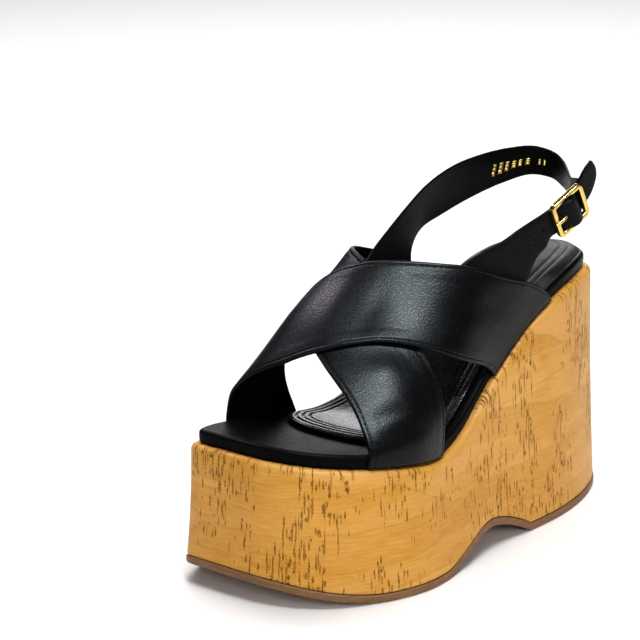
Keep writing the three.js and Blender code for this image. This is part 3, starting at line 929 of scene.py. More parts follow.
def metal_material(name, colour, rough):
    """Plated metal with faint hairlines and finger marks."""
    if name in bpy.data.materials:
        return bpy.data.materials[name]
    material, w, shader = new_material(name, colour)
    place = place_of(w)
    smear = w.noise(place, 240.0, 4.0, 0.6)
    base = w.blend(w.fit(smear, 0.35, 0.7), colour4(colour), colour4([c * 0.8 for c in colour]))
    w.put(shader.inputs["Base Color"], base)
    w.put(shader.inputs["Roughness"], w.fit(smear, 0.3, 0.75, rough, rough + 0.14))
    w.put(shader.inputs["Normal"], w.bump(w.noise(place, 2600.0, 2.0), 0.00001))
    set_shader(shader, Metallic=1.0)
    return material


@once("materials", "thread_waxed_black")
def thread_material(name, finish):
    """Waxed twisted thread."""
    material, w, shader = new_material(name, finish.leather)
    twist = w.noise(place_of(w), 3800.0, 2.0)
    base = w.blend(twist, colour4((0.003, 0.003, 0.004)), colour4((0.012, 0.012, 0.014)))
    w.put(shader.inputs["Base Color"], base)
    w.put(shader.inputs["Roughness"], w.fit(twist, 0.3, 0.7, 0.4, 0.6))
    w.put(shader.inputs["Normal"], w.bump(twist, 0.00005))
    set_shader(shader, Specular_IOR_Level=0.12)
    return material


@once("materials", "studio_paper")
def floor_material(name, finish):
    """Pale seamless paper."""
    material, w, shader = new_material(name, finish.floor)
    fibre = w.noise(place_of(w), 40.0, 4.0, 0.6)
    floor = np.array(finish.floor)
    w.put(shader.inputs["Base Color"], w.blend(fibre, colour4(floor), colour4(floor * 0.985)))
    w.put(shader.inputs["Roughness"], w.fit(fibre, 0.3, 0.7, 0.8, 0.9))
    set_shader(shader, Specular_IOR_Level=0.1)
    return material


# ---------------------------------------------------------------------------
# Sole


def arc_profile(inset_from, inset_to, low, high, steps, outward=True):
    """(inset, height) pairs round a quarter turn between two corners."""
    pairs = []
    for angle in np.linspace(0, math.pi / 2, steps):
        sine, rest = math.sin(angle), 1 - math.cos(angle)
        across, upright = (rest, sine) if outward else (sine, rest)
        pairs.append((lerp(inset_from, inset_to, across), lerp(low, high, upright)))
    return pairs


def wall_ring(more, height):
    """The insole's outline drawn in by some more, at a height over the cork."""
    return raised(outline(lambda at: wall_inset(at) + more), lambda at: footbed(at) + height)


# how far in from the outline the cork wrap runs on level
WRAP_SHOULDER = 6


def map_wrap(piece, points, count):
    """Gives the side wall a map of distance round the sole and height.

    The map's seam is at the back of the heel, where the cork wrap is joined."""
    heel = len(OUTLINE) // 2
    round_sole = np.roll(OUTLINE, -heel, 0)
    run = path_run(np.concatenate([round_sole, round_sole[:1]]))
    vertex = np.arange(len(points))
    place = (vertex - heel) % count
    loops = np.empty(len(piece.data.loops), dtype=np.int32)
    piece.data.loops.foreach_get("vertex_index", loops)
    starts = np.empty(len(piece.data.polygons), dtype=np.int32)
    totals = np.empty(len(piece.data.polygons), dtype=np.int32)
    piece.data.polygons.foreach_get("loop_start", starts)
    piece.data.polygons.foreach_get("loop_total", totals)
    face_of = np.repeat(np.arange(len(starts)), totals)
    at = place[loops]
    widest = np.zeros(len(starts), dtype=np.int64)
    np.maximum.at(widest, face_of, at)
    at = np.where((at == 0) & (widest[face_of] == count - 1), count, at)
    inward = np.linalg.norm(points[:, :2] - OUTLINE[vertex % count], axis=1)
    height = points[:, 2] + np.maximum(inward - WRAP_SHOULDER, 0)
    values = np.column_stack([run[at], height[loops]]) * MM
    piece.data.uv_layers.new(name=WRAP_MAP).data.foreach_set("uv", values.ravel().astype(np.float32))


# (inset, height) of the tread's channel and the flat rim outside it
TREAD_CHANNEL = [(6.2, 0.0), (5.9, 0.45), (5.0, 0.45), (4.7, 0.0)]
TREAD_RIM = [(3.2, 0.0), (1.7, 0.0)]
SOLE_SIDE_INSET = 0.4


def build_outsole(finish):
    """Rubber outsole with rounded sides and a shallow channel underneath."""
    rim = TREAD_CHANNEL + TREAD_RIM
    side = arc_profile(1.3, 0.45, 0.0, 1.1, 6, outward=False)
    top = arc_profile(SOLE_SIDE_INSET, 1.1, OUTSOLE_THICK - 0.9, OUTSOLE_THICK, 6)
    profile = rim + side + [(SOLE_SIDE_INSET, 1.8)] + top + [(2.2, OUTSOLE_THICK)]
    rings = [raised(outline(inset), lambda at, z=z: underside(at) + z) for inset, z in profile]
    points, faces = stack(rings)
    glued_from = (len(rim) + len(side) + len(top)) * len(OUTLINE)
    slots = [int(min(face) >= glued_from) for face in faces]
    materials = [rubber_material(finish), glue_material(finish)]
    piece = add_piece("outsole_rubber", points, faces, materials, slots)
    return finish_piece(piece, "outsole_rubber", "outsole")


# the cork's side: its inset and rounding at the foot, how far its middle
# stands in, and the height and width of its shoulder
FOOT_INSET = 0.9
FOOT_ROUNDING = 0.8
SIDE_HOLLOW = 0.5
SHOULDER_DROP = 3.2
SHOULDER_WIDTH = 2.6


def build_wedge(finish):
    """Cork-covered wedge with a soft shoulder under the insole."""

    def side_inset(t):
        hollow = SIDE_HOLLOW * math.sin(math.pi * t)
        return lambda at: lerp(FOOT_INSET, wall_inset(at) - LEDGE, t) + hollow

    def side_height(t):
        return lambda at: lerp(cork_foot(at) + FOOT_ROUNDING, footbed(at) - SHOULDER_DROP, t)

    rings = [raised(outline(3.0), cork_foot), raised(outline(1.3), cork_foot)]
    rings.append(raised(outline(1.0), lambda at: cork_foot(at) + 0.3))
    rings += [raised(outline(side_inset(t)), side_height(t)) for t in np.linspace(0, 1, 26)]
    shoulder = arc_profile(-LEDGE, SHOULDER_WIDTH - LEDGE, -SHOULDER_DROP, 0.0, 9)[1:]
    rings += [wall_ring(more, drop) for more, drop in shoulder + [(1.5, 0.0)]]
    points, faces = stack(rings)
    piece = add_piece("cork_wedge", points, faces, [cork_material(finish)])
    map_wrap(piece, points, len(OUTLINE))
    return finish_piece(piece, "cork", "platform_wedge")


# the line along the foot on which the insole's top closes, under the sock
SPINE_X = -3.0
SPINE_RUN = (54, 205)


def build_insole(finish):
    """Leather-wrapped insole board with a rolled edge and a faint rim."""
    crown = GAP + INSOLE_THICK
    low = arc_profile(0.8, 0.0, GAP, GAP + 1.1, 5, outward=False)
    side = [(-0.12, GAP + 2.2), (-0.15, GAP + 3.1)]
    roll = arc_profile(-0.1, 1.9, GAP + 4.2, crown + 0.06, 9)
    top = [(2.6, crown + 0.1), (3.4, crown + 0.06), (4.4, crown - 0.02), (5.4, crown - 0.08)]
    rings = [wall_ring(more, height) for more, height in low + side + roll + top]
    rim = rings[-1][:, :2]
    spine = np.column_stack([np.full(len(rim), SPINE_X), np.clip(rim[:, 1], *SPINE_RUN)])
    for share in (0.08, 0.25, 0.5, 0.75, 0.97):
        rings.append(raised(lerp(rim, spine, share), lambda at: footbed(at) + top[-1][1]))
    points, faces = stack(rings)
    piece = add_piece("insole_cover", points, faces, [leather("insole_leather_satin", finish)])
    return finish_piece(piece, "insole_leather", "insole")


# ---------------------------------------------------------------------------
# Sock pad

# tip of the sock's front edge, then station, inner edge and outer edge of its
# round front, and the stations at which its sides follow the insole
SOCK_TIP = (-1, 49)
SOCK_FRONT = ((51, -16, 14), (57, -27, 25), (67, -33, 32))
SOCK_STATIONS = (80, 95, 110, 125, 140, 155, 170, 185, 200, 212, 221)
# sewn channels: distance in from the edge, and width under the bands
CHANNELS = (3.4, 6.4, 9.4)
CHANNEL_WIDTH = 0.42
# in the heel: the stitched row, how far the pad spreads out, its edge's height
HEEL_ROW = 7.4
HEEL_ROW_FROM = 142
HEEL_SPREAD = 2.6
HEEL_EDGE = 0.3
SOCK_STITCH = 2.1


# stations between which the pad changes from its front to its heel form
HEEL_FORM = (128, 162)


def to_heel(at):
    """0 under the bands, 1 in the heel."""
    return ramp(at, *HEEL_FORM)


def sock_outline():
    """The pad's outline: round in front, then beside the insole's edge."""
    ring = outline(lambda at: wall_inset(at) + SOCK_INSET - HEEL_SPREAD * to_heel(at))
    rows = [(at, *edges_at(ring, at)[::-1]) for at in SOCK_STATIONS]
    rows = [*SOCK_FRONT, *rows]
    back = (HEEL_TIP[0], SOLE_LENGTH - WALL_INSET_HEEL - SOCK_INSET + HEEL_SPREAD)
    outer = [(row[2], row[0]) for row in rows]
    inner = [(row[1], row[0]) for row in reversed(rows)]
    return spline([SOCK_TIP, *outer, back, *inner], 14, closed=True)


def pad_edge(at):
    """Height of the pad's edge as a share of its thickness."""
    return lerp(1.0, HEEL_EDGE, to_heel(at))


def pad_height(depth, at):
    """Height of the pad above the insole at a distance in from its edge."""
    back = to_heel(at)
    inside = depth - HEEL_SPREAD * back
    body = SOCK_THICK * lerp(pad_edge(at), 1.0, smooth(depth / 4.5))
    swell = 0.75 * (1 - np.exp(-np.maximum(depth - 0.6, 0) / lerp(2.2, 3.6, back)))
    width = lerp(CHANNEL_WIDTH, 0.6, back)
    height = GAP + body + swell - lerp(1.0, 0.28, back) * bell(inside - CHANNELS[0], width)
    for channel in CHANNELS[1:]:
        height = height - (1 - back) * bell(inside - channel, CHANNEL_WIDTH)
    return height - 0.4 * back * bell(inside - HEEL_ROW, 0.9)


def sock_rings(ring):
    """The pad's rings: rounded edge, channelled border, then the middle."""

    def ring_at(depth, height):
        return raised(drawn_in(ring, depth), lambda at: insole_top(at) + height(at))

    edge = arc_profile(0.7, 0.0, GAP, GAP + 0.6, 4, outward=False)
    edge += arc_profile(0.0, 1.1, GAP + 1.2, GAP + SOCK_THICK, 6)
    rings = [ring_at(depth, lambda at, z=z: z * pad_edge(at)) for depth, z in edge]
    for depth in np.arange(1.4, 14.6, 0.3):
        rings.append(ring_at(depth, lambda at, d=depth: pad_height(d, at)))
    inner = rings[-1][:, :2]
    spine_at = np.clip(inner[:, 1], 84, 196)
    spine = np.column_stack([np.mean(edges_at(inner, spine_at), axis=0), spine_at])
    for t in np.linspace(0, 0.98, 14)[1:]:

        def middle_height(at, crown=0.5 * math.sin(t * math.pi / 2)):
            return insole_top(at) + pad_height(30.0, at) + crown * (1 - smooth((at - 120) / 40))

        rings.append(raised(lerp(inner, spine, t), middle_height))
    return rings


def build_sock(sizes, finish):
    """Padded sock with sewn channels that follow its edge."""
    ring = sock_outline()
    points, faces = stack(sock_rings(ring))
    pad = add_piece("sock_cushion", points, faces, [leather("sock_leather_glazed", finish)])
    finish_piece(pad, "sock_leather", "sock_pad")
    # sewn row round the heel, inside the edge, from its open end
    depth = HEEL_ROW + HEEL_SPREAD
    row = drawn_in(ring, depth)
    row = row[row[:, 1] > HEEL_ROW_FROM]
    open_end = int(np.argmax(np.linalg.norm(row - np.roll(row, -1, 0), axis=1))) + 1
    row = np.roll(row, -open_end, 0)
    path = np.column_stack([row, insole_top(row[:, 1]) + pad_height(depth, row[:, 1])])
    normals = np.tile([0.0, 0.0, 1.0], (len(path), 1))
    sewn = stitches(path, normals, sizes.sock_pitch / MM, length=SOCK_STITCH)
    thread = add_piece("sock_stitches", *sewn, [thread_material(finish)])
    return finish_piece(thread, "sock_leather")


# ---------------------------------------------------------------------------
# Bands across the foot

TURN_ROWS = 181
# width of the turned-in edge and its fade, and width of the stitched groove
TURNED_EDGE = 6.5
TURNED_FADE = 2.2
GROOVE_WIDTH = 0.42
# distances of a band's columns from its edge
ROLL_STEPS = (0, 0.03, 0.12, 0.28, 0.5, 0.75, 1.0, 1.35, 1.65, 1.9)
EDGE_STEPS = (*ROLL_STEPS, 2.1, 2.3, 2.5, 2.7, 2.95, 3.3, 4, 5, 6, 7, 8, 9)
STITCH_COLUMN = 11
STITCH_INSET = EDGE_STEPS[STITCH_COLUMN]


def last_point(at, turn, lift):
    """A point on the foot's shape, at a station and a turn in degrees."""
    outer, inner = edges_at(INSOLE_EDGE, at)
    outer = outer + BAND_CLEAR + BAND_WALL / 2
    inner = inner - BAND_CLEAR - BAND_WALL / 2
    angle = np.radians(turn)
    cos = np.cos(angle)
    sin = np.maximum(np.sin(angle), 0)
    outside = cos > 0
    fullness = np.where(outside, through(LAST, 3, at), through(LAST, 4, at))
    rise = np.where(outside, SIDE_RISE[0], SIDE_RISE[1])
    x = (
        (outer + inner) / 2
        + (outer - inner) / 2 * np.sign(cos) * np.abs(cos) ** fullness
        + through(LAST, 2, at) * sin * sin
        + lift * cos
    )
    tuck = TUCK * (1 - smooth(sin / TUCK_REACH))
    z = footbed(at) + GAP + tuck + through(LAST, 1, at) * sin**rise + lift * sin
    return np.stack(np.broadcast_arrays(x, at, z), -1)


def crease(points, start, end, width, depth):
    """A soft trough (or ridge, if the depth is negative) between two points."""
    a, b = (np.array(p, float) for p in (start, end))
    span = b - a
    t = clamp01(((points - a) @ span) / (span @ span))
    distance = np.linalg.norm(points - (a + t[..., None] * span), axis=-1)
    ends = np.sin(np.pi * clamp01(0.06 + 0.88 * t)) ** 0.6
    return -depth * bell(distance, width) * ends


def band_grid(front, rear, lift):
    """A band's middle points, normals, distance from its edges, turn, station."""
    turn = np.linspace(0, 180, TURN_ROWS)
    start = through(BAND_EDGES, front, turn)
    end = through(BAND_EDGES, rear, turn)
    across = lerp(start[:, None], end[:, None], np.linspace(0, 1, 24))
    rough = last_point(across, turn[:, None], lift(turn)[:, None])
    widths = np.linalg.norm(np.diff(rough, axis=1), axis=2).sum(1)
    distance = columns(widths, EDGE_STEPS, 26)
    share = distance / widths[:, None]
    at = lerp(start[:, None], end[:, None], share)
    middle = last_point(at, turn[:, None], lift(turn)[:, None])
    normals = surface_normals(middle)
    centre = np.stack([np.zeros_like(at), at, footbed(at) + 20], -1)
    if np.sum((middle - centre) * normals) < 0:
        normals = -normals
    return middle, normals, np.minimum(distance, widths[:, None] - distance), turn, at


def edge_relief(distance, ridge, groove):
    """Turned-in edge: a slight plateau along the edge and a stitched groove."""
    plateau = ridge * (1 - smooth((distance - TURNED_EDGE) / TURNED_FADE))
    return plateau - groove * bell(distance - STITCH_INSET, GROOVE_WIDTH)


OVER_CREASES = (
    # start, end (on the foot's shape: station, turn), width, depth
    ((60, 62), (84, 66), 5.0, 0.5),
    ((52, 78), (78, 84), 6.0, -0.4),
    ((100, 36), (118, 22), 5.0, 0.45),
    ((118, 26), (132, 12), 4.0, 0.4),
    ((46, 128), (66, 118), 6.0, 0.45),
)
UNDER_CREASES = (
    ((42, 30), (60, 24), 4.0, 0.5),
    ((47, 18), (66, 12), 3.5, 0.55),
    ((66, 26), (78, 20), 4.0, 0.5),
    ((56, 46), (68, 40), 6.0, -0.5),
    ((88, 124), (104, 134), 5.0, 0.4),
    # pressed down where the upper band's front edge crosses
    ((80, 36), (40, 108), 9.0, 1.9),
)


# degrees of turn over which a band's end settles on the insole's side, and
# those at which the upper band starts to rise and is up, from either end
HUG_TURN = 14
OUTER_RISE = (8, 34)
INNER_RISE = (8, 42)


def hug(turn):
    """How far a band's end is drawn in against the side of the insole."""
    return HUG * (1 - smooth(np.minimum(turn, 180 - turn) / HUG_TURN))


def over_lift(turn):
    """Lift of the upper band off the foot's shape."""
    up = ramp(turn, *OUTER_RISE) * ramp(180 - turn, *INNER_RISE)
    return BAND_LIFT * up - hug(turn)


def under_lift(turn):
    """Lift of the lower band off the foot's shape."""
    return -hug(turn)


def build_band(name, front, rear, lift, creases, sizes, finish):
    """One band; gives path, normals, turn and station of its two sewn rows."""
    middle, normals, distance, turn, at = band_grid(front, rear, lift)
    relief = edge_relief(distance, sizes.edge_ridge / MM, sizes.stitch_groove / MM)
    for *ends, width, depth in creases:
        first, last = (last_point(np.array(s), np.array(t), lift(np.array(t))) for s, t in ends)
        relief = relief + crease(middle, first, last, width, depth)
    points, faces, slots, outer = shell(middle, normals, distance, BAND_WALL, relief, -0.1 * relief)
    materials = [leather("upper_leather_black", finish), leather("lining_leather_satin", finish)]
    band = add_piece(name, points, faces, materials, slots)
    finish_piece(band, "upper_leather", "upper")
    columns_sewn = (STITCH_COLUMN, -1 - STITCH_COLUMN)
    return [(outer[:, k], normals[:, k], turn, at[:, k]) for k in columns_sewn]


def build_bands(sizes, finish):
    """Both leather bands and the thread along their edges."""
    over = build_band("over_band", 1, 2, over_lift, OVER_CREASES, sizes, finish)
    under = build_band("under_band", 3, 4, under_lift, UNDER_CREASES, sizes, finish)
    pitch = sizes.stitch_pitch / MM
    parts = [stitches(path, normals, pitch) for path, normals, _, _ in over]
    for path, normals, turn, at in under:
        covered = (at > through(BAND_EDGES, 1, turn) - 1) & (at < through(BAND_EDGES, 2, turn) + 1)
        hidden = path[covered]

        def keep(point, hidden=hidden):
            return len(hidden) == 0 or np.min(np.linalg.norm(hidden - point, axis=1)) > 1.5

        parts.append(stitches(path, normals, pitch, keep=keep))
    thread = add_piece("band_stitches", *merged(parts), [thread_material(finish)])
    return finish_piece(thread, "upper_leather")


# ---------------------------------------------------------------------------
# Straps and buckle

STRAP_EDGE_STEPS = (0, 0.03, 0.1, 0.22, 0.4, 0.6, 0.8, 1.1, 1.35, 1.55, 1.75, 1.95, 2.15, 2.5)
STRAP_GROOVE_COLUMN = 10
STRAP_GROOVE = 0.04
STRAP_GROOVE_WIDTH = 0.3
STRAP_SOFTENING = 3.0
STRAP_COLUMNS = 10

# the buckle's own directions
AXIS_ALONG = unit(np.array([0.151, 0.869, 0.475]))
AXIS_OUT = unit(np.cross(AXIS_ALONG, np.array([0, -0.48, 0.877])))
AXIS_UP = unit(np.cross(AXIS_OUT, AXIS_ALONG))


def at_buckle(along, up, out):
    """A point given in the buckle's own directions."""
    return BUCKLE_MIDDLE + AXIS_ALONG * along + AXIS_UP * up + AXIS_OUT * out


def strap_grid(high_points, low_points, steps, ridge):
    """A flat strap's middle points, normals, distance from its edges, relief."""
    high = spline(high_points, steps)
    low = spline(low_points, steps)
    widths = np.linalg.norm(high - low, axis=1)
    distance = columns(widths, STRAP_EDGE_STEPS, STRAP_COLUMNS)
    middle = lerp(high[:, None], low[:, None], (distance / widths[:, None])[..., None])
    normals = surface_normals(middle)
    edge = np.minimum(distance, widths[:, None] - distance)
    groove_at = STRAP_EDGE_STEPS[STRAP_GROOVE_COLUMN]
    groove = STRAP_GROOVE * bell(edge - groove_at, STRAP_GROOVE_WIDTH)
    relief = ridge * smooth(edge / STRAP_SOFTENING) - groove
    return middle, normals, edge, relief


def sling_edges():
    """Upper and lower edge of the sling strap, round to the middle bar."""
    high = [row[0] for row in SLING_ROWS]
    low = [row[1] for row in SLING_ROWS]
    run = list(SLING_RUN)
    for degrees in WRAP_ANGLES:
        angle = math.radians(degrees)
        run.append((WRAP_RADIUS * math.cos(angle), WRAP_RADIUS * math.sin(angle) - PIN_DROP))
    for along, out in run:
        high.append(tuple(at_buckle(along, STRAP_WIDTH / 2, out)))
        low.append(tuple(at_buckle(along, -STRAP_WIDTH / 2, out)))
    return high, low


def tongue_edges():
    """Upper and lower edge of the buckle strap, through the frame to its tip."""
    high = [row[0] for row in TONGUE_ROWS]
    low = [row[1] for row in TONGUE_ROWS]
    for along, out, up, turn, half in TONGUE_RUN:
        angle = math.radians(turn)
        middle = at_buckle(along, up, out)
        across = AXIS_UP * math.cos(angle) - AXIS_ALONG * math.sin(angle)
        high.append(tuple(middle + across * half))
        low.append(tuple(middle - across * half))
    return high, low


def punch(piece, cutters):
    """Cuts closed bodies out of a piece and keeps the result as its mesh."""
    points, faces = merged(cutters)
    tool = add_piece(piece.name + "_punch", points, faces, [])
    cut = piece.modifiers.new("punch", "BOOLEAN")
    cut.operation = "DIFFERENCE"
    cut.solver = "EXACT"
    cut.object = tool
    shown = bpy.context.evaluated_depsgraph_get()
    mesh = bpy.data.meshes.new_from_object(piece.evaluated_get(shown))
    piece.modifiers.clear()
    piece.data = mesh
    bpy.data.objects.remove(tool)


def drum(middle, axis, radius, half, sides=20, stretch=1.0):
    """A round or oval closed bar used as a punch."""
    ends = [middle - axis * half, middle + axis * half]
    points, faces = tube(ends, [(radius * stretch, radius)], sides, up=AXIS_UP)
    return points, outwards(points, faces)


def build_sling(finish):
    """Sling strap, slotted for the prong where it wraps the middle bar."""
    middle, normals, edge, relief = strap_grid(*sling_edges(), SLING_STEPS, 0.12)
    free = SLING_STEPS * (len(SLING_ROWS) - 1)
    away = (middle[:free] - HEEL_AXIS) * (1, 1, 0)
    if np.sum(away * normals[:free]) < 0:
        normals = -normals
    points, faces, slots, _ = shell(middle, normals, edge, SLING_WALL, relief)
    materials = [leather("strap_leather_black", finish), leather("lining_leather_satin", finish)]
    sling = add_piece("sling_band", points, faces, materials, slots)
    punch(sling, [drum(at_buckle(-0.4, 0, -0.6), AXIS_OUT, 1.3, 2.8, 24, 2.3)])
    finish_piece(sling, "strap_leather", "sling_strap")
    build_foil(middle, normals, finish)


def build_tongue(finish):
    """Buckle strap with its punched holes."""
    middle, normals, edge, relief = strap_grid(*tongue_edges(), TONGUE_STEPS, 0.15)
    centre = middle.shape[1] // 2
    in_frame = TONGUE_STEPS * (len(TONGUE_ROWS) + 3)
    if normals[in_frame, centre] @ AXIS_OUT < 0:
        normals = -normals
    points, faces, slots, _ = shell(middle, normals, edge, STRAP_WALL, relief)
    materials = [leather("strap_leather_black", finish), leather("lining_leather_satin", finish)]
    tongue = add_piece("buckle_strap", points, faces, materials, slots)
    run = (middle[:, centre] - BUCKLE_MIDDLE) @ AXIS_ALONG
    punches = []
    for hole in STRAP_HOLES:
        row = int(np.argmin(np.abs(run - hole)))
        spot = (middle[row, centre] + middle[row, centre - 1]) / 2
        punches.append(drum(spot, normals[row, centre], HOLE_RADIUS, 1.8))
    punch(tongue, punches)
    finish_piece(tongue, "strap_leather", "tongue_strap")


# distance from the first mark, height, width of each stamped bar
FOIL_MARKS = (
    (0.0, 5.6, 1.7),
    (3.7, 5.4, 2.2),
    (7.4, 4.4, 1.8),
    (11.0, 3.4, 2.1),
    (14.4, 3.0, 1.7),
    (18.0, 3.0, 2.0),
    (24.2, 2.6, 1.1),
    (26.6, 2.6, 1.1),
)
# each bar is worn into pieces, given as shares of its height
FOIL_PIECES = ((-0.5, -0.16), (-0.08, 0.2), (0.28, 0.5))
FOIL_START = (-26.8, 201.0, 149.0)
FOIL_LIFT = 0.02
FOIL_THICK = 0.05
FOIL_SHADE = 0.8


def build_foil(middle, normals, finish):
    """Plain stamped foil bars on the inner face of the sling strap."""
    centre = middle.shape[1] // 2
    path = middle[:, centre]
    run = path_run(path)
    first = int(np.argmin(np.linalg.norm(path - np.array(FOIL_START), axis=1)))
    parts = []
    for offset, tall, wide in FOIL_MARKS:
        for low, high in FOIL_PIECES:
            rings = []
            for spot in run[first] + offset + wide * np.linspace(0, 1, 3):
                row = int(np.argmin(np.abs(run - spot)))
                upright = unit(middle[row, 0] - middle[row, -1]) * tall
                out = -normals[row, centre]
                face = sample(path, run, spot) + out * (SLING_WALL / 2 + FOIL_LIFT)
                lower, upper = face + upright * low, face + upright * high
                raise_by = out * FOIL_THICK
                rings.append([lower, upper, upper + raise_by, lower + raise_by])
            parts.append(stack(rings))
    foil_gold = metal_material("stamped_foil", tuple(np.array(finish.gold) * FOIL_SHADE), 0.35)
    foil = add_piece("foil_marks", *merged(parts), [foil_gold])
    finish_piece(foil, "strap_leather")


def rounded_loop(width, height, radius, steps):
    """A closed rounded rectangle in the buckle's plane."""
    points = []
    for corner, (sx, sy) in enumerate(((1, 1), (-1, 1), (-1, -1), (1, -1))):
        for k in range(steps + 1):
            angle = math.pi / 2 * (corner + k / steps)
            x = sx * (width / 2 - radius) + radius * math.cos(angle)
            y = sy * (height / 2 - radius) + radius * math.sin(angle)
            points.append((x, y))
    return np.array(points)


def bar_section(loop, half_width, half_depth, sides=20, square=3.4):
    """The frame's bar swept round a loop, with a softened square section."""
    tangent = unit(np.roll(loop, -1, 0) - np.roll(loop, 1, 0))
    away = np.stack([tangent[:, 1], -tangent[:, 0]], 1)
    angle = np.linspace(0, 2 * math.pi, sides, endpoint=False)
    cos, sin = np.cos(angle), np.sin(angle)
    across = np.sign(cos) * np.abs(cos) ** (2 / square) * half_width
    outward = np.sign(sin) * np.abs(sin) ** (2 / square) * half_depth
    flat = loop[:, None] + away[:, None] * across[None, :, None]
    depth = np.broadcast_to(outward, flat.shape[:2])
    points = (
        BUCKLE_MIDDLE
        + flat[..., :1] * AXIS_ALONG
        + flat[..., 1:] * AXIS_UP
        + depth[..., None] * AXIS_OUT
    ).reshape(-1, 3)
    return points, outwards(points, joined_rings(len(loop), sides, closed=True))


FRAME_CORNER = 1.6
FRAME_STEP = 1.2
PRONG_TAPER = 0.35


def build_buckle(finish):
    """Polished frame with its middle bar, and the prong."""
    gold = metal_material("gold_plate", tuple(finish.gold), 0.12)
    size = (BUCKLE_LENGTH - BUCKLE_BAR, BUCKLE_HEIGHT - BUCKLE_BAR)
    loop = rounded_loop(*size, FRAME_CORNER, 8)
    middle = []
    for a, b in zip(loop, np.roll(loop, -1, 0)):
        steps = max(1, int(np.linalg.norm(b - a) / FRAME_STEP))
        middle += [lerp(a, b, n / steps) for n in range(steps)]
    ring = bar_section(np.array(middle), FRAME_WIDTH / 2, FRAME_DEPTH / 2)
    reach = size[1] / 2
    pin_path = [at_buckle(0, up, -PIN_DROP) for up in np.linspace(-reach, reach, 9)]
    pin = tube(pin_path, PIN_RADIUS, 20, up=AXIS_OUT)
    buckle = add_piece("buckle_ring", *merged([ring, pin]), [gold])
    finish_piece(buckle, "gold_metal", "buckle_frame")
    # prong: flattened rod with a tapered tip, curled round the middle bar
    flat = spline([(along, 0, out) for along, out in PRONG_RUN], 10)
    rod_path = np.array([at_buckle(*place) for place in flat])
    taper = 1 - PRONG_TAPER * smooth((np.linspace(0, 1, len(rod_path)) - 0.55) / 0.45)
    radii = np.column_stack([PRONG_RADIUS * 1.1 * taper, PRONG_RADIUS * taper])
    rod = tube(rod_path, radii, 16, up=AXIS_OUT)
    curl_radius = PIN_RADIUS + GAP + PRONG_RADIUS
    curl_path = []
    for angle in np.linspace(0, 2 * math.pi, 40, endpoint=False):
        along, out = curl_radius * math.cos(angle), curl_radius * math.sin(angle)
        curl_path.append(at_buckle(along, 0, out - PIN_DROP))
    curl = tube(curl_path, PRONG_RADIUS, 16, closed=True, up=AXIS_UP)
    prong = add_piece("prong", *merged([rod, curl]), [gold])
    return finish_piece(prong, "gold_metal", "buckle_prong")


# ---------------------------------------------------------------------------
# Stage

# the camera's place in millimetres, its view and its upright
EYE = np.array([647.82, -702.99, 377.10])
LOOK = np.array([-0.63173, 0.73095, -0.25814])
CAMERA_UP = np.array([-0.16743, 0.19648, 0.96611])
LENS = 138.488
FLOOR_SIZE = 24.0


def place_camera():
    data = bpy.data.cameras.new("camera")
    data.lens = LENS
    data.sensor_width = 36
    data.clip_start = 0.05
    data.clip_end = 50
    camera = bpy.data.objects.new("camera", data)
    bpy.context.scene.collection.objects.link(camera)
    right = unit(np.cross(LOOK, CAMERA_UP))
    up = np.cross(right, LOOK)
    matrix = Matrix(np.column_stack([right, up, -LOOK]).tolist()).to_4x4()
    matrix.translation = Vector(to_frame(EYE))
    camera.matrix_world = matrix
    bpy.context.scene.camera = camera


# middle of the sandal in metres, which the lamps stand round
MIDDLE = (0, 0, 0.08)
LAMPS = (
    # name, azimuth, elevation, roll, distance, aim, width, height, watts, tint, what it lights
    ("gleam", 78, 66, -22, 1.25, MIDDLE, 0.42, 0.11, 24.0, (0.93, 0.99, 1.0), "gloss"),
    ("crest", 24, 66, 0, 1.25, MIDDLE, 0.13, 0.12, 13.0, (0.9, 1.0, 1.0), "gloss"),
    ("sheen", -98, 46, 0, 1.8, MIDDLE, 0.4, 0.4, 12.0, (1.0, 0.9, 1.0), "gloss"),
    ("backdrop", 221, 16, 0, 2.0, MIDDLE, 1.3, 0.5, 8.5, (0.98, 0.98, 1.0), "gloss"),
    ("top", 50, 66, 0, 1.25, MIDDLE, 0.4, 0.4, 8.5, (1.0, 0.99, 0.98), "matte"),
    ("front", 22, 26, 0, 2.0, MIDDLE, 1.2, 0.9, 8.6, (1.0, 0.98, 1.0), "matte"),
    ("side", 84, 18, 0, 2.0, MIDDLE, 0.9, 0.9, 12.0, (1.0, 0.99, 0.99), "matte"),
    ("rear", 218, 62, 0, 2.0, (-0.58, 0.74, 0.0), 1.6, 1.6, 46.0, (1.0, 1.0, 1.0), "matte"),
)


def place_lamps():
    """Area lamps, each either for the leather's gleam or for matt surfaces."""
    for name, azimuth, elevation, roll, reach, aim, width, height, power, tint, lights in LAMPS:
        turn, rise = math.radians(azimuth), math.radians(elevation)
        level = math.cos(rise)
        away = Vector((math.sin(turn) * level, -math.cos(turn) * level, math.sin(rise)))
        data = bpy.data.lights.new(name, "AREA")
        data.shape = "RECTANGLE"
        data.size = width
        data.size_y = height
        data.energy = power
        data.color = tint
        lamp = bpy.data.objects.new(name, data)
        bpy.context.scene.collection.objects.link(lamp)
        lamp.visible_camera = False
        lamp.visible_glossy = lights == "gloss"
        lamp.visible_diffuse = lights == "matte"
        lamp.location = Vector(MIDDLE) + away * reach
        lamp.rotation_mode = "QUATERNION"
        facing = (Vector(aim) - lamp.location).to_track_quat("-Z", "Y")
        lamp.rotation_quaternion = facing @ Quaternion((0.0, 0.0, 1.0), math.radians(roll))


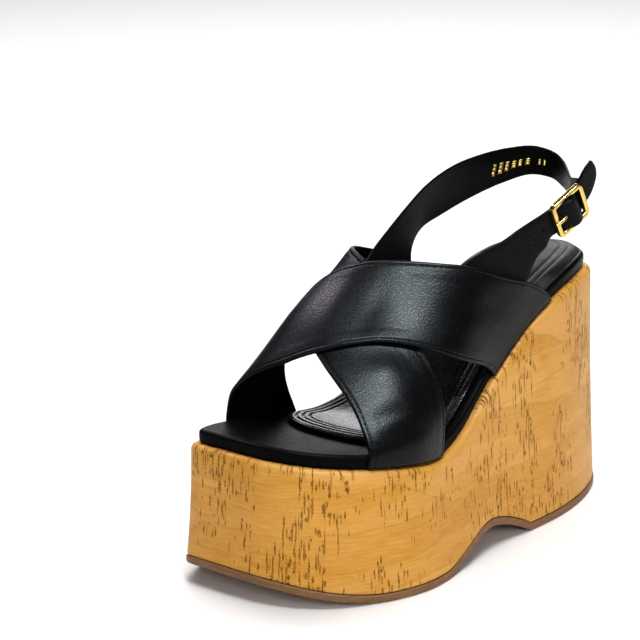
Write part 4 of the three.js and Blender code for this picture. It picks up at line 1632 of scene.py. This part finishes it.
def place_floor(finish):
    """A sheet of paper on the floor, in a grid so that it isn't one face."""
    steps = 9
    drop = 0.02
    side = np.linspace(-FLOOR_SIZE / 2, FLOOR_SIZE / 2, steps) / MM
    points = [(x + ORIGIN[0], y + ORIGIN[1], -drop) for y in side for x in side]
    faces = [
        (j * steps + i, j * steps + i + 1, (j + 1) * steps + i + 1, (j + 1) * steps + i)
        for j in range(steps - 1)
        for i in range(steps - 1)
    ]
    floor = add_piece("floor_paper", points, faces, [floor_material(finish)])


def light_world():
    world = bpy.data.worlds.new("studio")
    bpy.context.scene.world = world
    world.use_nodes = True
    background = world.node_tree.nodes["Background"]
    background.inputs["Color"].default_value = (0.95, 0.97, 1.0, 1.0)
    background.inputs["Strength"].default_value = 0.035


# ---------------------------------------------------------------------------
# Settings, operators and panel


LENGTH = {"unit": "LENGTH"}
COLOUR = {"subtype": "COLOR", "size": 3, "min": 0.0, "max": 1.0}


class SandalSizes(PropertyGroup):
    """Sizes of the sewing, in metres"""

    stitch_pitch: FloatProperty(
        name="Stitch pitch",
        description="Distance from one stitch to the next along the edges",
        default=0.0028,
        min=0.0015,
        max=0.006,
        precision=4,
        **LENGTH,
    )
    sock_pitch: FloatProperty(
        name="Sock stitch pitch",
        description="Distance from one stitch to the next round the heel of the sock",
        default=0.0036,
        min=0.002,
        max=0.008,
        precision=4,
        **LENGTH,
    )
    edge_ridge: FloatProperty(
        name="Turned edge",
        description="How far the turned-in edge of a band stands up",
        default=0.0001,
        min=0.0,
        max=0.001,
        precision=5,
        **LENGTH,
    )
    stitch_groove: FloatProperty(
        name="Stitch groove",
        description="Depth of the groove that the stitches pull into a band",
        default=0.0002,
        min=0.0,
        max=0.001,
        precision=5,
        **LENGTH,
    )


class SandalFinish(PropertyGroup):
    """Colours of the sandal and its floor"""

    cork: FloatVectorProperty(
        name="Cork",
        description="Ground colour of the cork veneer",
        default=(0.6, 0.3, 0.04),
        **COLOUR,
    )
    fleck: FloatVectorProperty(
        name="Cork flecks",
        description="Colour of the dark flecks in the cork",
        default=(0.12, 0.042, 0.004),
        **COLOUR,
    )
    rubber: FloatVectorProperty(
        name="Outsole",
        description="Colour of the outsole rubber",
        default=(0.21, 0.096, 0.031),
        **COLOUR,
    )
    leather: FloatVectorProperty(
        name="Leather",
        description="Colour of the bands and straps",
        default=(0.0022, 0.002, 0.003),
        **COLOUR,
    )
    lining: FloatVectorProperty(
        name="Lining",
        description="Colour of the lining, the insole and the sock",
        default=(0.0022, 0.0022, 0.0026),
        **COLOUR,
    )
    gold: FloatVectorProperty(
        name="Buckle",
        description="Colour of the buckle's plating",
        default=(0.86, 0.6, 0.17),
        **COLOUR,
    )
    floor: FloatVectorProperty(
        name="Floor",
        description="Colour of the studio floor",
        default=(0.93, 0.93, 0.93),
        **COLOUR,
    )


class SANDAL_OT_outsole(Operator):
    """Make the rubber outsole"""

    bl_idname = "sandal.outsole"
    bl_label = "Outsole"
    bl_options = {"REGISTER", "UNDO"}

    def execute(self, context):
        build_outsole(context.scene.sandal_finish)
        return {"FINISHED"}


class SANDAL_OT_wedge(Operator):
    """Make the cork wedge"""

    bl_idname = "sandal.wedge"
    bl_label = "Cork wedge"
    bl_options = {"REGISTER", "UNDO"}

    def execute(self, context):
        build_wedge(context.scene.sandal_finish)
        return {"FINISHED"}


class SANDAL_OT_insole(Operator):
    """Make the leather-wrapped insole"""

    bl_idname = "sandal.insole"
    bl_label = "Insole"
    bl_options = {"REGISTER", "UNDO"}

    def execute(self, context):
        build_insole(context.scene.sandal_finish)
        return {"FINISHED"}


class SANDAL_OT_sock(Operator):
    """Make the padded sock and its sewn row"""

    bl_idname = "sandal.sock"
    bl_label = "Sock pad"
    bl_options = {"REGISTER", "UNDO"}

    def execute(self, context):
        build_sock(context.scene.sandal_sizes, context.scene.sandal_finish)
        return {"FINISHED"}


class SANDAL_OT_bands(Operator):
    """Make the two crossed bands and their stitching"""

    bl_idname = "sandal.bands"
    bl_label = "Crossed bands"
    bl_options = {"REGISTER", "UNDO"}

    def execute(self, context):
        build_bands(context.scene.sandal_sizes, context.scene.sandal_finish)
        return {"FINISHED"}


class SANDAL_OT_straps(Operator):
    """Make the sling strap, the buckle strap and their details"""

    bl_idname = "sandal.straps"
    bl_label = "Straps"
    bl_options = {"REGISTER", "UNDO"}

    def execute(self, context):
        build_sling(context.scene.sandal_finish)
        build_tongue(context.scene.sandal_finish)
        return {"FINISHED"}


class SANDAL_OT_buckle(Operator):
    """Make the buckle and its prong"""

    bl_idname = "sandal.buckle"
    bl_label = "Buckle"
    bl_options = {"REGISTER", "UNDO"}

    def execute(self, context):
        build_buckle(context.scene.sandal_finish)
        return {"FINISHED"}


class SANDAL_OT_stage(Operator):
    """Set up the floor, the lights and the camera"""

    bl_idname = "sandal.stage"
    bl_label = "Stage"
    bl_options = {"REGISTER", "UNDO"}

    def execute(self, context):
        place_floor(context.scene.sandal_finish)
        place_lamps()
        light_world()
        place_camera()
        bpy.context.scene.view_settings.view_transform = "Standard"
        return {"FINISHED"}


PIECES = (
    SANDAL_OT_outsole,
    SANDAL_OT_wedge,
    SANDAL_OT_insole,
    SANDAL_OT_sock,
    SANDAL_OT_bands,
    SANDAL_OT_straps,
    SANDAL_OT_buckle,
    SANDAL_OT_stage,
)


class SANDAL_PT_pieces(Panel):
    """Settings and pieces of the sandal"""

    bl_label = "Platform Sandal"
    bl_idname = "SANDAL_PT_pieces"
    bl_space_type = "VIEW_3D"
    bl_region_type = "UI"
    bl_category = "Sandal"

    def draw(self, context):
        layout = self.layout
        for group in (context.scene.sandal_sizes, context.scene.sandal_finish):
            box = layout.box()
            for name in group.__annotations__:
                box.prop(group, name)
        for piece in PIECES:
            layout.operator(piece.bl_idname)


CLASSES = (SandalSizes, SandalFinish, *PIECES, SANDAL_PT_pieces)


def register():
    for item in CLASSES:
        bpy.utils.register_class(item)
    bpy.types.Scene.sandal_sizes = PointerProperty(type=SandalSizes)
    bpy.types.Scene.sandal_finish = PointerProperty(type=SandalFinish)


def unregister():
    del bpy.types.Scene.sandal_finish
    del bpy.types.Scene.sandal_sizes
    for item in reversed(CLASSES):
        bpy.utils.unregister_class(item)


def main():
    register()
    for piece in PIECES:
        group, name = piece.bl_idname.split(".")
        getattr(getattr(bpy.ops, group), name)()


if __name__ == "__main__":
    main()
